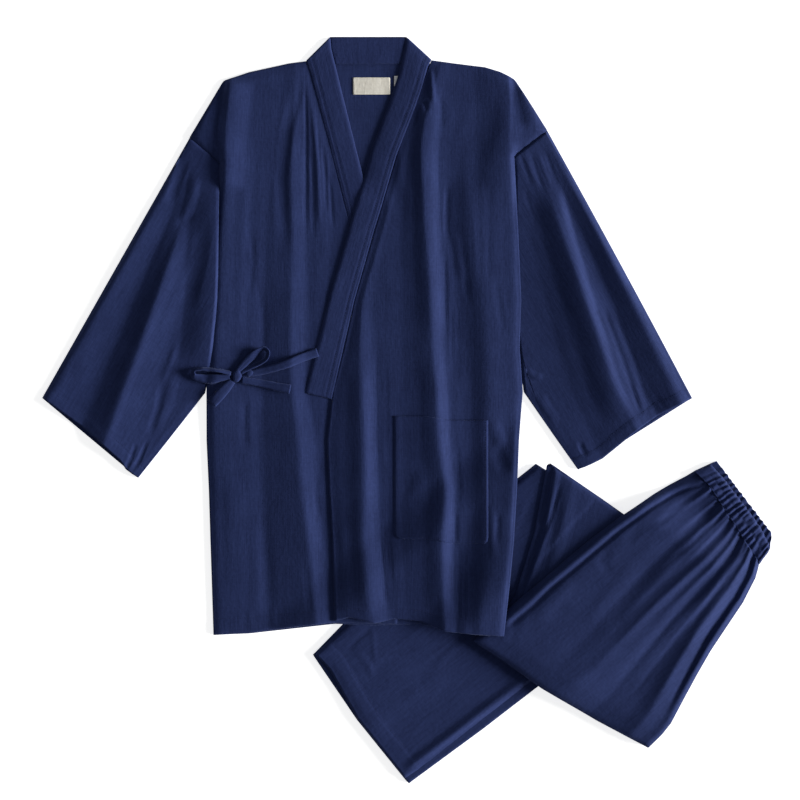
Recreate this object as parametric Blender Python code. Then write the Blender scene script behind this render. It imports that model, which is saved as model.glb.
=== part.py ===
"""A kimono pyjama set laid flat: a wrap jacket with wide sleeves, on top of its trousers folded in three.

Tables are in millimetres, and MM turns them into Blender's metres. X runs to the right of the garment as it
lies, Y towards its collar and Z up from the surface that it lies on. The origin is under the middle of the
whole set. Right and left in the names are the wearer's, so the left front is the one at +X, and it laps over.

A panel of the jacket is a grid. Its lines run down the cloth along the edges, crests and hollows, and its
sections cross them at set heights, so a table says where each line lies and how far it rises.
"""

from typing import NamedTuple

import bpy
import numpy as np

MM = 0.001

# Cloth, seams, and the height at which each layer of the jacket lies when it is flat
CLOTH = 1.3
BAND = 2.0
SEAM = 0.3
FRONT_AT_SEAM = CLOTH + SEAM
UNDER_FRONT = 2.5
UNDER_BAND = 2.1
OVER_FRONT = 4.8
OVER_BAND = 4.6

# Sleeves: two layers with a rolled edge
SLEEVE_HEIGHT = 3.6
SLEEVE_ROLL = 2.0

# Trousers: each of three stretches is four layers of cloth, of which the top one is a wall of its own
STRETCH = 6.6
CORE_GAP = 0.5
CORE = STRETCH - CLOTH - CORE_GAP
CORE_INSET = 2.6
PILE_MARGIN = 8.0
PILE_SLOPE = 60.0
SEAT_ON_PILE = 1.11
JACKET_ON_PILE = 1.10
WAIST_HEIGHT = 9.0
WAIST_PLEATS = 24
WAIST_PLEAT_HEIGHT = 1.8
WAIST_PLEAT_CELLS = 3
WAIST_DROP = 2.0
WAIST_ROLL = 1.6
WAIST_LOWER_CLOTH = 1.4
WAIST_PLEAT_BELOW = 0.8

# Small pieces
POCKET_CLOTH = 1.1
LABEL_CLOTH = 0.5
TIE_CLOTH = 1.5
TIE_LIFT = 0.8
TIE_CELLS = 3

NAVY = (0.022, 0.031, 0.098, 1.0)
NAVY_BAND = (0.026, 0.036, 0.110, 1.0)
CREAM = (0.80, 0.76, 0.64, 1.0)
WHITE = (0.86, 0.87, 0.88, 1.0)
COTTON_ROUGHNESS = 0.88


class Line(NamedTuple):
    """A line down a panel: cells from it to the next line, and the height at which it lies when flat."""

    name: str
    cells: int
    bed: float


class Section(NamedTuple):
    """A section across a panel: its height at both edges, cells to the next one, and each line's x and rise."""

    left_y: float
    right_y: float
    cells: int
    at: tuple
    rise: tuple
    bed: float = 0.0


class Run(NamedTuple):
    """A line down a sleeve from armhole to cuff, cells from it to the next, and its rise at start, middle, end."""

    cells: int
    start: tuple
    middle: tuple
    end: tuple
    rise: tuple


class Gather(NamedTuple):
    """A fold that fans out from the waistband, by its places across the seat, its half width, rise and reach."""

    at_waist: float
    at_fold: float
    half: float
    rise: float
    reach: float


class Station(NamedTuple):
    """A station along a band: its outer and inner edge, the height that it lies at, and cells to the next."""

    outer: tuple
    inner: tuple
    bed: float
    cells: int = 1


class Bend(NamedTuple):
    """A station along a tie: its middle, the lift over the cloth below, its width and how far it is rolled."""

    x: float
    y: float
    lift: float
    width: float
    roll: float


# The front that lies under, from its side seam to its front edge
UNDER_LINES = (
    Line("side", 1, UNDER_FRONT), Line("rim", 2, UNDER_FRONT), Line("swell", 3, UNDER_FRONT),
    Line("trough", 2, UNDER_FRONT), Line("foot", 2, UNDER_FRONT), Line("crest", 2, UNDER_FRONT),
    Line("end", 1, UNDER_FRONT), Line("cover", 2, UNDER_FRONT), Line("front", 0, UNDER_FRONT),
)
UNDER_SECTIONS = (
    Section(429, 453, 2, (-239, -231, -208, -182, -162, -146, -140, -136, -132),
            (0, 0.3, 0.3, 0, 0, 0.3, 0, 0, 0), FRONT_AT_SEAM),
    Section(354, 354, 1, (-284, -240, -214, -192, -172, -151, -138, -122, -105),
            (-0.2, 2.5, 1.5, 0.3, 0.2, 2.5, 0.6, 0, 0)),
    Section(321, 321, 2, (-245, -237, -213, -193, -174, -152, -135, -117, -97),
            (1.6, 4.2, 2.2, 0.5, 0.2, 3.6, 0.6, 0, 0)),
    Section(235, 235, 2, (-250, -243, -218, -194, -174, -150, -134, -108, -75),
            (1.6, 4.2, 2.8, 1.2, 0.4, 4.8, 0.3, 0, 0)),
    Section(143, 143, 1, (-254, -247, -222, -198, -176, -152, -131, -95, -50),
            (1.6, 4.0, 3.0, 1.6, 0.5, 5.2, 0.2, 0, 0)),
    Section(80, 80, 2, (-259, -251, -226, -200, -178, -153, -132, -92, -35),
            (1.6, 3.8, 3.0, 1.6, 0.6, 4.8, 0.2, 0, 0)),
    Section(24, 24, 2, (-262, -254, -230, -204, -178, -151, -132, -92, -22),
            (1.6, 3.2, 3.0, 1.5, 0.5, 4.6, 0.2, 0, 0)),
    Section(-39, -39, 3, (-262, -254, -232, -206, -178, -143, -120, -90, -18),
            (-0.9, 2.0, 3.0, 1.5, 0.3, 5.0, 0.2, 0, 0)),
    Section(-104, -104, 3, (-259, -251, -229, -203, -175, -139, -117, -87, -16),
            (-0.9, 1.5, 3.2, 1.6, 0.4, 5.5, 0.2, 0, 0)),
    Section(-169, -169, 3, (-257, -249, -227, -200, -170, -129, -111, -83, -15),
            (-0.9, 1.2, 3.4, 1.8, 0.5, 5.5, 0.2, 0, 0)),
    Section(-230, -230, 3, (-255, -248, -225, -196, -164, -123, -105, -79, -15),
            (-0.9, 1.2, 3.2, 1.8, 0.6, 5.0, 0.2, 0, 0)),
    Section(-292, -277, 0, (-253, -246, -222, -192, -160, -120, -101, -73, -15),
            (-0.9, 1.0, 2.5, 1.5, 0.5, 3.8, 0.2, 0, 0)),
)
UNDER_SHOULDER = ((-239, 429), (-207, 439), (-155, 450), (-132, 453))
UNDER_HEM = ((-253, -292), (-206, -289), (-141, -280), (-96, -275), (-15, -277))

# The front that laps over, from its front edge to its side seam
OVER_LINES = (
    Line("front", 2, OVER_FRONT), Line("foot_a", 2, OVER_FRONT), Line("crest_a", 2, OVER_FRONT),
    Line("end_a", 2, OVER_FRONT), Line("middle", 2, OVER_FRONT), Line("foot_b", 2, OVER_FRONT),
    Line("crest_b", 2, 4.1), Line("end_b", 2, 3.5), Line("dip", 2, 2.9), Line("swell", 2, 2.7),
    Line("rim", 1, 2.6), Line("side", 0, 2.5),
)
OVER_SECTIONS = (
    Section(454, 426, 2, (30, 31.5, 33, 34.5, 36, 38, 43, 54, 80, 108, 130, 138),
            (0, 0, 0, 0, 0, 0, 0.3, 0, 0, 0.3, 0.3, 0), FRONT_AT_SEAM),
    Section(363, 363, 1, (-5, -3.5, -2, -0.5, 0.8, 2, 17, 33, 62, 108, 133, 180),
            (0, 0, 0, 0, 0, 0, 2.8, 0.4, 0, 0.8, 2.5, -0.2), UNDER_FRONT),
    Section(330, 330, 2, (-16, -12, -9, -6, -3, 0, 18, 36, 62, 108, 130, 137),
            (0.5, 0.5, 0.5, 0.5, 0.3, 0.3, 4.3, 0.5, 0, 1.2, 4.5, 1.6), UNDER_FRONT),
    Section(235, 235, 2, (-44, -38, -33, -28, -20, -6, 22, 42, 66, 112, 135, 142),
            (0, 0, 0.3, 0, 0, 0, 5.2, 0.3, 0, 1.8, 4.5, 1.6)),
    Section(143, 143, 1, (-70, -66, -60, -48, -28, -4, 29, 46, 74, 116, 139, 146),
            (0, 0, 1.0, 0, 0, 0, 5.2, 0.2, 0, 1.2, 4.2, 1.6)),
    Section(80, 80, 2, (-84, -77, -63, -45, -24, -6, 31, 48, 76, 115, 137, 144),
            (0, 0, 3.2, 0, 0, 0, 5.0, 0.2, 0, 1.5, 4.0, 1.6)),
    Section(24, 24, 2, (-98, -86, -61, -44, -22, -4, 37, 52, 80, 117, 141, 148),
            (0, 0, 4.2, 0, 0, 0, 5.2, 0.2, 0, 2.2, 3.5, 1.6)),
    Section(-39, -39, 3, (-106, -86, -58, -43, -20, 2, 38, 55, 84, 115, 137, 143),
            (0, 0, 4.5, 0, 0, 0, 5.8, 0.2, 0, 2.8, 2.0, -0.9)),
    Section(-104, -104, 3, (-103, -85, -57, -41, -18, 10, 49, 62, 86, 113, 134, 140),
            (0, 0, 4.8, 0, 0, 0, 5.8, 0.2, 0, 2.6, 2.2, -0.9)),
    Section(-169, -169, 3, (-99, -82, -55, -38, -16, 4, 42, 58, 82, 108, 130, 136),
            (0, 0, 5.0, 0, 0, 0, 6.0, 0.2, 0, 2.0, 2.2, -0.9)),
    Section(-230, -230, 3, (-97, -78, -49, -32, -8, 10, 45, 61, 82, 106, 124, 130),
            (0, 0, 5.0, 0, 0, 0, 6.0, 0.2, 0, 1.5, 2.0, -0.9)),
    Section(-273, -292, 0, (-96, -72, -42, -24, -2, 14, 46, 62, 82, 102, 117, 123),
            (0, 0, 4.5, 0, 0, 0, 5.2, 0.2, 0, 1.0, 1.2, -0.9)),
)
OVER_SHOULDER = ((30, 454), (59, 450), (99, 445), (119, 439), (138, 426))
OVER_HEM = (
    (-96, -273), (-76, -268), (-44, -276), (-18, -270), (15, -273), (47, -286), (80, -289), (123, -292),
)

# The back, whose two edges are lines and whose cells between them are all alike
BACK_LINES = (Line("right", 13, 0.0), Line("left", 0, 0.0))
BACK_SECTIONS = (
    Section(429, 426, 2, (-239, 138), (0, 0)),
    Section(354, 363, 1, (-284, 180), (0, 0)),
    Section(321, 330, 2, (-281.8, 176.8), (0, 0)),
    Section(235, 235, 2, (-276.1, 167.5), (0, 0)),
    Section(143, 143, 1, (-270.0, 158.6), (0, 0)),
    Section(80, 80, 2, (-265.8, 152.5), (0, 0)),
    Section(24, 24, 2, (-262, 147), (0, 0)),
    Section(-39, -39, 3, (-262, 143), (0, 0)),
    Section(-104, -104, 3, (-259, 140), (0, 0)),
    Section(-169, -169, 3, (-257, 136), (0, 0)),
    Section(-230, -230, 3, (-255, 130), (0, 0)),
    Section(-292, -292, 0, (-253, 123), (0, 0)),
)
BACK_TOP = (
    (-239, 429), (-207, 439), (-155, 450), (-92, 450), (-11, 450), (59, 450), (99, 445), (119, 439), (138, 426),
)
BACK_HEM = ((-253, -292), (-206, -290), (-96, -277), (-44, -279), (15, -277), (80, -290), (123, -292))

# The upper layer of each sleeve from the shoulder's fold to the underarm's, and the corners of the lower one
RIGHT_SLEEVE = (
    Run(1, (-284.3, 353.6), (-380, 185), (-476, 16), (0, 0, 0)),
    Run(2, (-276.5, 347.0), (-357, 155), (-440, -2), (0, 2.0, 1.5)),
    Run(1, (-268.3, 340.1), (-331, 122), (-401, -29), (0, 0, 0.2)),
    Run(2, (-262.3, 335.0), (-325, 118), (-398, -46), (0, 5.0, 5.0)),
    Run(2, (-245.3, 320.4), (-303, 95), (-382, -65), (0, 3.0, 3.2)),
    Run(2, (-246.5, 225.0), (-290, 58), (-367, -77), (0, 0.3, 1.2)),
    Run(2, (-247.5, 120.0), (-291, 12), (-359, -83), (0, 0.2, 0.6)),
    Run(0, (-264.0, 22.5), (-307, -33), (-351, -88), (0, 0, 0)),
)
RIGHT_SLEEVE_BELOW = ((-284.4, 353.9), (-264.6, 21.8), (-476, 15.5), (-351.5, -88.5))
LEFT_SLEEVE = (
    Run(1, (180.3, 362.6), (279, 185), (368, 15), (0, 0, 0)),
    Run(2, (173.3, 357.3), (268, 178), (355, 10), (0, 2.4, 2.4)),
    Run(2, (166.3, 352.0), (258, 150), (330, -3), (0, 0.4, 0.3)),
    Run(2, (157.4, 345.3), (243, 125), (300, -21), (0, 5.0, 4.5)),
    Run(2, (137.4, 329.6), (207, 118), (268, -49), (0, 0.2, 0.4)),
    Run(2, (138.5, 235.0), (184, 70), (244, -63), (0, 1.6, 1.8)),
    Run(2, (139.5, 120.0), (170, 12), (232, -71), (0, 0.2, 0.3)),
    Run(0, (149.5, 24.0), (185, -28), (220, -77), (0, 0, 0)),
)
LEFT_SLEEVE_BELOW = ((180.4, 362.9), (150.0, 22.8), (369, 16), (220.3, -77.8))
SLEEVE_ROWS = 10

# Neck band: at the back of the neck, down the front that lies under, and the lapel of the one that laps over
BAND_BACK = (
    Station((-101.2, 484.5), (-3.2, 484.5), 0.0, 2),
    Station((-95.4, 450.4), (-14.6, 450.4), 0.0),
)
BAND_RIGHT = (
    Station((-132.3, 454.0), (-102, 484.0), FRONT_AT_SEAM, 1),
    Station((-127.3, 438.0), (-101, 470.0), FRONT_AT_SEAM, 2),
    Station((-104.6, 353.0), (-74, 361.0), UNDER_BAND, 3),
    Station((-74.6, 236.0), (-44, 243.0), UNDER_BAND, 3),
    Station((-49.6, 143.0), (-17, 151.0), UNDER_BAND, 3),
    Station((-21.5, 24.0), (12, 30.0), UNDER_BAND),
)
LAPEL = (
    Station((29.3, 455.0), (-2.4, 484.0), FRONT_AT_SEAM, 1),
    Station((24.5, 446.0), (-5, 472.0), 2.8, 2),
    Station((-16.5, 330.0), (-47, 341.0), OVER_BAND, 3),
    Station((-44.5, 235.0), (-74, 245.0), OVER_BAND, 3),
    Station((-70.5, 143.0), (-101, 152.0), OVER_BAND, 3),
    Station((-98.6, 24.0), (-133, 31.0), OVER_BAND),
)
LABEL = (-72, -24, 410, 432)
SIZE_TAG = (-20.5, -12, 420, 433)

# Patch pocket on the front that laps over: its edges, from the middle of the garment outwards and down
POCKET = (-19, 103, -8, -167)

# Ties: the two straight ones, and the bow's loops and tails
TIES = {
    "tie_lapel": (
        Bend(-128, 70.5, 0, 11, 0), Bend(-140, 65, 0, 11, 0), Bend(-154, 58, 0, 11, 0),
        Bend(-172, 53, 0, 10, 0), Bend(-190, 49, 0, 9, 0), Bend(-214, 47, 0, 5, 0),
    ),
    "tie_side": (
        Bend(-259, 38, 0, 10, 0), Bend(-247, 41, 0, 9, 0), Bend(-235.5, 44, 0, 5, 0),
    ),
    "bow_tail_right": (
        Bend(-214, 40, 0, 5, 0), Bend(-203, 38, 0, 8, 0), Bend(-190, 35.5, 0, 10, 0),
        Bend(-172, 32, 0, 11, 0), Bend(-153.5, 28, 0, 12, 0),
    ),
    "bow_tail_left": (
        Bend(-230.5, 35.5, 0, 5, 0), Bend(-237, 28, 0, 9, 0), Bend(-245, 19.5, 0, 11, 0),
        Bend(-254, 11, 0, 12, 0),
    ),
    "bow_loop_left": (
        Bend(-235.5, 51, 3.6, 5, 50), Bend(-247, 54, 4.4, 7, 68), Bend(-260, 56, 4.6, 8, 72),
        Bend(-272, 55, 4.6, 8, 72), Bend(-279, 50, 4.8, 8, 66), Bend(-279, 42, 4.2, 9, 44),
        Bend(-270, 35.5, 2.9, 11, 14), Bend(-257, 37.5, 2.5, 11, 4), Bend(-246, 40.5, 2.4, 8, 2),
        Bend(-236, 43.5, 2.4, 5, 0),
    ),
    "bow_loop_top": (
        Bend(-219.5, 54, 1.5, 5, 8), Bend(-212, 60.5, 1.8, 8, 14), Bend(-203, 69, 2.1, 9, 24),
        Bend(-195, 76, 3.1, 8, 50), Bend(-187, 79.5, 3.7, 8, 68), Bend(-181.5, 75.5, 3.7, 8, 72),
        Bend(-183, 67.5, 3.5, 8, 70), Bend(-192, 61.5, 3.1, 7, 62), Bend(-204, 56.5, 2.5, 6, 50),
        Bend(-215.5, 51.5, 1.7, 4, 30),
    ),
}
KNOT = (-225, 46, 6.6, 6.2, 5.2)

# Outlines of the trousers' stretches, each as four edges: start, end, and the two that join them
LEGS_EDGES = {
    "start": ((166, -74), (379, -205)),
    "end": ((-124, -318), (-67, -402), (0, -484)),
    "left": ((166, -74), (30, -180), (-84, -277), (-124, -318)),
    "right": ((379, -205), (164, -361), (30, -458), (0, -484)),
}
LEG_SHOWN_EDGES = {
    "start": ((168, -77), (366, -203)),
    "end": ((-121, -316), (-102, -336), (-66, -400), (-4, -478)),
    "left": ((168, -77), (30, -184), (-82, -280), (-121, -316)),
    "right": ((366, -203), (167, -346), (32, -450), (-4, -478)),
}
THIGHS_EDGES = {
    "start": ((184, -71), (249, -116), (381, -207)),
    "end": ((88, -303), (172, -359), (309, -437)),
    "left": ((184, -71), (165, -168), (140, -246), (88, -303)),
    "right": ((381, -207), (309, -437)),
}
SEAT_EDGES = {
    "start": ((384, -86), (454, -190)),
    "end": ((84, -299), (125, -325), (172, -360), (245, -403), (311, -439)),
    "left": ((384, -86), (348, -92), (305, -116), (270, -131), (197, -190), (145, -239), (84, -299)),
    "right": ((454, -190), (449, -221), (418, -273), (382, -330), (348, -393), (311, -439)),
}
SEAT_INSIDE_EDGES = SEAT_EDGES | {
    "start": ((381, -88), (451, -191)),
    "left": ((381, -88), *SEAT_EDGES["left"][1:]),
    "right": ((451, -191), *SEAT_EDGES["right"][1:]),
}
LEGS_CORNERS = ((-128, -312), (-2, -489), (385, -208), (170, -66))
THIGHS_CORNERS = ((82, -303), (310, -442), (386, -207), (184, -67))
SEAT_CORNERS = ((80, -300), (312, -443), (458, -195), (250, -112))
GATHERS = (
    Gather(0.07, 0.10, 0.035, 1.6, 1.10),
    Gather(0.20, 0.37, 0.050, 3.0, 1.05),
    Gather(0.29, 0.46, 0.035, 1.8, 0.60),
    Gather(0.38, 0.55, 0.045, 3.0, 1.00),
    Gather(0.47, 0.60, 0.030, 1.8, 0.55),
    Gather(0.55, 0.66, 0.045, 3.6, 1.00),
    Gather(0.65, 0.76, 0.030, 1.8, 0.50),
    Gather(0.75, 0.86, 0.045, 4.0, 1.05),
    Gather(0.84, 0.92, 0.028, 1.6, 0.50),
    Gather(0.92, 0.975, 0.035, 3.0, 0.95),
)
WAIST_SEAM = ((384.6, -85.6), (454.6, -189.6))
WAIST_FRONT_TOP = ((406, -76), (469, -176))
WAIST_BACK_TOP = ((411, -72), (475, -164))

# How far the rim of a folded stretch stands out at each height, so that its layers part at the edge
LAYERED_RIM = ((0.90, 2.2), (0.72, 2.6), (0.62, 1.2), (0.50, 2.6), (0.38, 1.2), (0.28, 2.6), (0.10, 2.2))


def ease(t):
    """A smooth step from 0 to 1."""
    t = np.clip(t, 0.0, 1.0)
    return t * t * (3.0 - 2.0 * t)


def profile(points, x):
    """The height of a polyline at x, for an outline that runs from left to right."""
    table = np.array(points, float)
    return np.interp(x, table[:, 0], table[:, 1])


def outside(corners, x, y):
    """How far a point lies outside a polygon whose corners go round it anticlockwise."""
    table = np.array(corners, float)
    far = np.full(np.shape(x), -np.inf)
    for (ax, ay), (bx, by) in zip(table, np.roll(table, -1, axis=0)):
        length = np.hypot(bx - ax, by - ay)
        far = np.maximum(far, ((x - ax) * (by - ay) - (y - ay) * (bx - ax)) / length)
    return far


def pile(x, y, *layers):
    """The height of the folded stretches under a point, with the slope that cloth takes down to the floor."""
    height = 0.0
    for corners in layers:
        height = height + (STRETCH + SEAM) * ease(1 - (outside(corners, x, y) - PILE_MARGIN) / PILE_SLOPE)
    return height


def under_jacket(x, y):
    """The height of the trousers under the jacket, with a little room for it."""
    return JACKET_ON_PILE * pile(x, y, LEGS_CORNERS, THIGHS_CORNERS, SEAT_CORNERS)


def shares(cells):
    """The place of each grid line among named lines: the index of the line before it, and how far past it."""
    index = np.concatenate([np.full(n, i) for i, n in enumerate(cells)] + [[len(cells) - 1]]).astype(int)
    past = np.concatenate([np.arange(n) / n for n in cells] + [[1.0]])
    return index, past


def between(values, cells, axis, smooth=False):
    """Values at named lines, filled in for every grid line between them."""
    index, past = shares(cells)
    weight = ease(past) if smooth else past
    shape = [1] * np.ndim(values)
    shape[axis] = -1
    weight = weight.reshape(shape)
    return np.take(values, index, axis) * (1 - weight) + np.take(values, index + 1, axis) * weight


def panel(lines, sections, top, hem):
    """The underside of a flat panel as a grid of points, rows down the panel and columns across it."""
    down = [section.cells for section in sections[:-1]]
    across = [line.cells for line in lines[:-1]]
    x = np.array([section.at for section in sections], float)
    beds = np.array([line.bed for line in lines])
    z = np.array([np.array(s.rise) + (s.bed if s.bed else beds) for s in sections])
    x = between(x, across, 1)
    z = between(z, across, 1, smooth=True)
    share = (x - x[:, :1]) / (x[:, -1:] - x[:, :1])
    left = np.array([[section.left_y] for section in sections], float)
    right = np.array([[section.right_y] for section in sections], float)
    y = left + (right - left) * share
    y[0] = profile(top, x[0])
    y[-1] = profile(hem, x[-1])
    grid = np.stack([x, y, z], axis=-1)
    grid = between(grid, down, 0)
    grid[..., 2] += under_jacket(grid[..., 0], grid[..., 1])
    return grid


def raised(grid, height):
    """A copy of a grid, moved up."""
    return grid + np.array([0.0, 0.0, height])


def along(points, count):
    """Points spaced evenly along a polyline."""
    table = np.array(points, float)
    length = np.concatenate([[0], np.cumsum(np.hypot(*np.diff(table[:, :2], axis=0).T))])
    places = np.linspace(0, length[-1], count)
    return np.stack([np.interp(places, length, column) for column in table.T], axis=-1)


def patch(edges, rows, cols):
    """A grid inside four edges, in plan. Rows run from the start edge to the end edge."""
    start, end = along(edges["start"], cols), along(edges["end"], cols)
    left, right = along(edges["left"], rows), along(edges["right"], rows)
    u = np.linspace(0, 1, cols)[None, :, None]
    v = np.linspace(0, 1, rows)[:, None, None]
    sides = (1 - u) * left[:, None] + u * right[:, None]
    ends = (1 - v) * start[None] + v * end[None]
    corners = (1 - v) * ((1 - u) * start[0] + u * start[-1]) + v * ((1 - u) * end[0] + u * end[-1])
    return sides + ends - corners


def cell_triangles(index, closed=False):
    """Triangles over a grid of vertex numbers, every cell split along the same diagonal."""
    if closed:
        index = np.concatenate([index, index[:, :1]], axis=1)
    a, b = index[:-1, :-1].ravel(), index[:-1, 1:].ravel()
    c, d = index[1:, 1:].ravel(), index[1:, :-1].ravel()
    return np.concatenate([np.stack([a, d, c], 1), np.stack([a, c, b], 1)])


def border(grid):
    """The border of a grid as one loop, along its first row first."""
    return np.concatenate([grid[0, :-1], grid[:-1, -1], grid[-1, :0:-1], grid[:0:-1, 0]])


def cotton(name, colour):
    """A matt cotton material."""
    material = bpy.data.materials.new(name)
    material.use_nodes = True
    shader = material.node_tree.nodes["Principled BSDF"]
    shader.inputs["Base Color"].default_value = colour
    shader.inputs["Roughness"].default_value = COTTON_ROUGHNESS
    shader.inputs["Metallic"].default_value = 0.0
    material.diffuse_color = colour
    return material


def add_object(name, points, triangles, colour):
    """Adds a mesh, turned so that its faces point out."""
    points = np.asarray(points, float) * MM
    volume = np.linalg.det(points[triangles]).sum()
    if volume < 0:
        triangles = triangles[:, ::-1]
    mesh = bpy.data.meshes.new(name)
    mesh.from_pydata(points.tolist(), [], triangles.tolist())
    mesh.shade_smooth()
    mesh.set_sharp_from_angle(angle=np.radians(50))
    mesh.materials.append(cotton(name, colour))
    piece = bpy.data.objects.new(name, mesh)
    bpy.context.collection.objects.link(piece)
    return piece


def add_sheet(name, upper, lower, rims=(), colour=NAVY):
    """A solid between two grids. Rims are loops of points between their borders, from the upper one down."""
    rows, cols = upper.shape[:2]
    count = rows * cols
    above = np.arange(count).reshape(rows, cols)
    below = above + count
    points = [upper.reshape(-1, 3), lower.reshape(-1, 3)]
    loops = [border(above)]
    for number, rim in enumerate(rims):
        points.append(rim)
        loops.append(np.arange(len(rim)) + 2 * count + number * len(rim))
    loops.append(border(below))
    sides = [cell_triangles(np.stack(pair), closed=True)[:, ::-1] for pair in zip(loops[:-1], loops[1:])]
    triangles = np.concatenate([cell_triangles(above), cell_triangles(below)[:, ::-1], *sides])
    return add_object(name, np.concatenate(points), triangles, colour)


def add_tube(name, outer, inner, colour=NAVY):
    """A tube of cloth, open at both ends. Rows run along it and columns go round it."""
    rows, cols = outer.shape[:2]
    outside_index = np.arange(rows * cols).reshape(rows, cols)
    inside_index = outside_index + rows * cols
    ends = [np.stack([inside_index[0], outside_index[0]]), np.stack([outside_index[-1], inside_index[-1]])]
    triangles = [cell_triangles(outside_index, closed=True), cell_triangles(inside_index, closed=True)[:, ::-1]]
    triangles += [cell_triangles(end, closed=True) for end in ends]
    points = np.concatenate([outer.reshape(-1, 3), inner.reshape(-1, 3)])
    return add_object(name, points, np.concatenate(triangles), colour)


def height_on(grid, x, y):
    """The height of a grid's own facets at points in plan."""
    rows, cols = grid.shape[:2]
    corners = grid.reshape(-1, 3)[cell_triangles(np.arange(rows * cols).reshape(rows, cols))]
    a, b, c = corners[:, 0], corners[:, 1], corners[:, 2]
    area = (b[:, 0] - a[:, 0]) * (c[:, 1] - a[:, 1]) - (c[:, 0] - a[:, 0]) * (b[:, 1] - a[:, 1])
    heights = []
    for px, py in zip(np.ravel(x), np.ravel(y)):
        s = ((px - a[:, 0]) * (c[:, 1] - a[:, 1]) - (py - a[:, 1]) * (c[:, 0] - a[:, 0])) / area
        t = ((py - a[:, 1]) * (b[:, 0] - a[:, 0]) - (px - a[:, 0]) * (b[:, 1] - a[:, 1])) / area
        nearest = np.argmax(np.minimum(np.minimum(s, t), 1 - s - t))
        s, t = s[nearest], t[nearest]
        heights.append(a[nearest, 2] * (1 - s - t) + b[nearest, 2] * s + c[nearest, 2] * t)
    return np.reshape(heights, np.shape(x))


def sleeve_tube(runs, below):
    """The outer and inner points of a laid sleeve, each a ring of columns: upper layer, then lower layer."""
    t = np.linspace(0, 1, SLEEVE_ROWS + 1)[:, None, None]
    start, middle, end = (np.array([run[i] for run in runs], float) for i in (1, 2, 3))
    control = 2 * middle - (start + end) / 2
    lines = (1 - t) ** 2 * start + 2 * t * (1 - t) * control + t**2 * end
    rise = np.array([run.rise for run in runs], float)
    rise = between(rise.T, (SLEEVE_ROWS // 2, SLEEVE_ROWS // 2), 0, smooth=True)
    cells = [run.cells for run in runs[:-1]]
    plan = between(lines, cells, 1)
    height = SLEEVE_HEIGHT + between(rise, cells, 1, smooth=True)
    upper = np.concatenate([plan, height[..., None]], axis=-1)
    shoulder, underarm, cuff_shoulder, cuff_underarm = (np.array(corner, float) for corner in below)
    v = t
    u = np.linspace(0, 1, upper.shape[1])[None, :, None]
    flat = (1 - v) * ((1 - u) * shoulder + u * underarm) + v * ((1 - u) * cuff_shoulder + u * cuff_underarm)
    lower = np.concatenate([flat, np.zeros_like(flat[..., :1])], axis=-1)
    rings = []
    for wall in (0.0, CLOTH):
        top, bottom = raised(upper, -wall), raised(lower, wall)
        edges = []
        for edge, inward in ((0, 1), (-1, -2)):
            rolled = (upper[:, edge] + lower[:, edge]) / 2
            for layer in (top, bottom):
                out = layer[:, edge] - layer[:, inward]
                out[:, 2] = 0
                out /= np.linalg.norm(out, axis=1, keepdims=True)
                layer[:, edge] -= SLEEVE_ROLL * out
                rolled = rolled - wall / 2 * out
            rolled[:, 2] = SLEEVE_HEIGHT / 2
            edges.append(rolled)
        rings.append(np.concatenate([edges[0][:, None], top, edges[1][:, None], bottom[:, ::-1]], axis=1))
    return rings


def band_grid(stations, cols):
    """The underside of a band, rows along it and columns across it."""
    cells = [station.cells for station in stations[:-1]]
    outer = np.array([[*s.outer, s.bed] for s in stations], float)
    inner = np.array([[*s.inner, s.bed] for s in stations], float)
    u = np.linspace(0, 1, cols)[None, :, None]
    grid = outer[:, None] * (1 - u) + inner[:, None] * u
    return between(grid, cells, 0)


def bulged(grid, height):
    """A border loop of a grid in plan, moved outwards."""
    loop = border(grid)
    ahead = np.roll(loop, -1, axis=0) - np.roll(loop, 1, axis=0)
    out = np.stack([-ahead[:, 1], ahead[:, 0]], axis=-1)
    out /= np.linalg.norm(out, axis=1, keepdims=True)
    towards = (loop[:, :2] * out).sum(1).mean() - (loop[:, :2].mean(0) * out).sum(1).mean()
    return loop[:, :2] + out * height * np.sign(towards)


def add_core(name, edges, rows, cols, floor_of):
    """The hidden layers of a folded stretch: one rounded solid whose rim is parted into layers."""
    plan = patch(edges, rows, cols)
    inner = plan.copy()
    loop = bulged(plan, -CORE_INSET)
    rows_index = np.arange(rows * cols).reshape(rows, cols)
    inner.reshape(-1, 2)[border(rows_index)] = loop
    floor = floor_of(inner[..., 0], inner[..., 1])
    lower = np.concatenate([inner, floor[..., None]], axis=-1)
    upper = raised(lower, CORE)
    rims = []
    for share, out in LAYERED_RIM:
        ring = bulged(inner, out)
        rims.append(np.column_stack([ring, border(floor) + share * CORE]))
    add_sheet(name, upper, lower, rims)
    return upper


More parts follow.
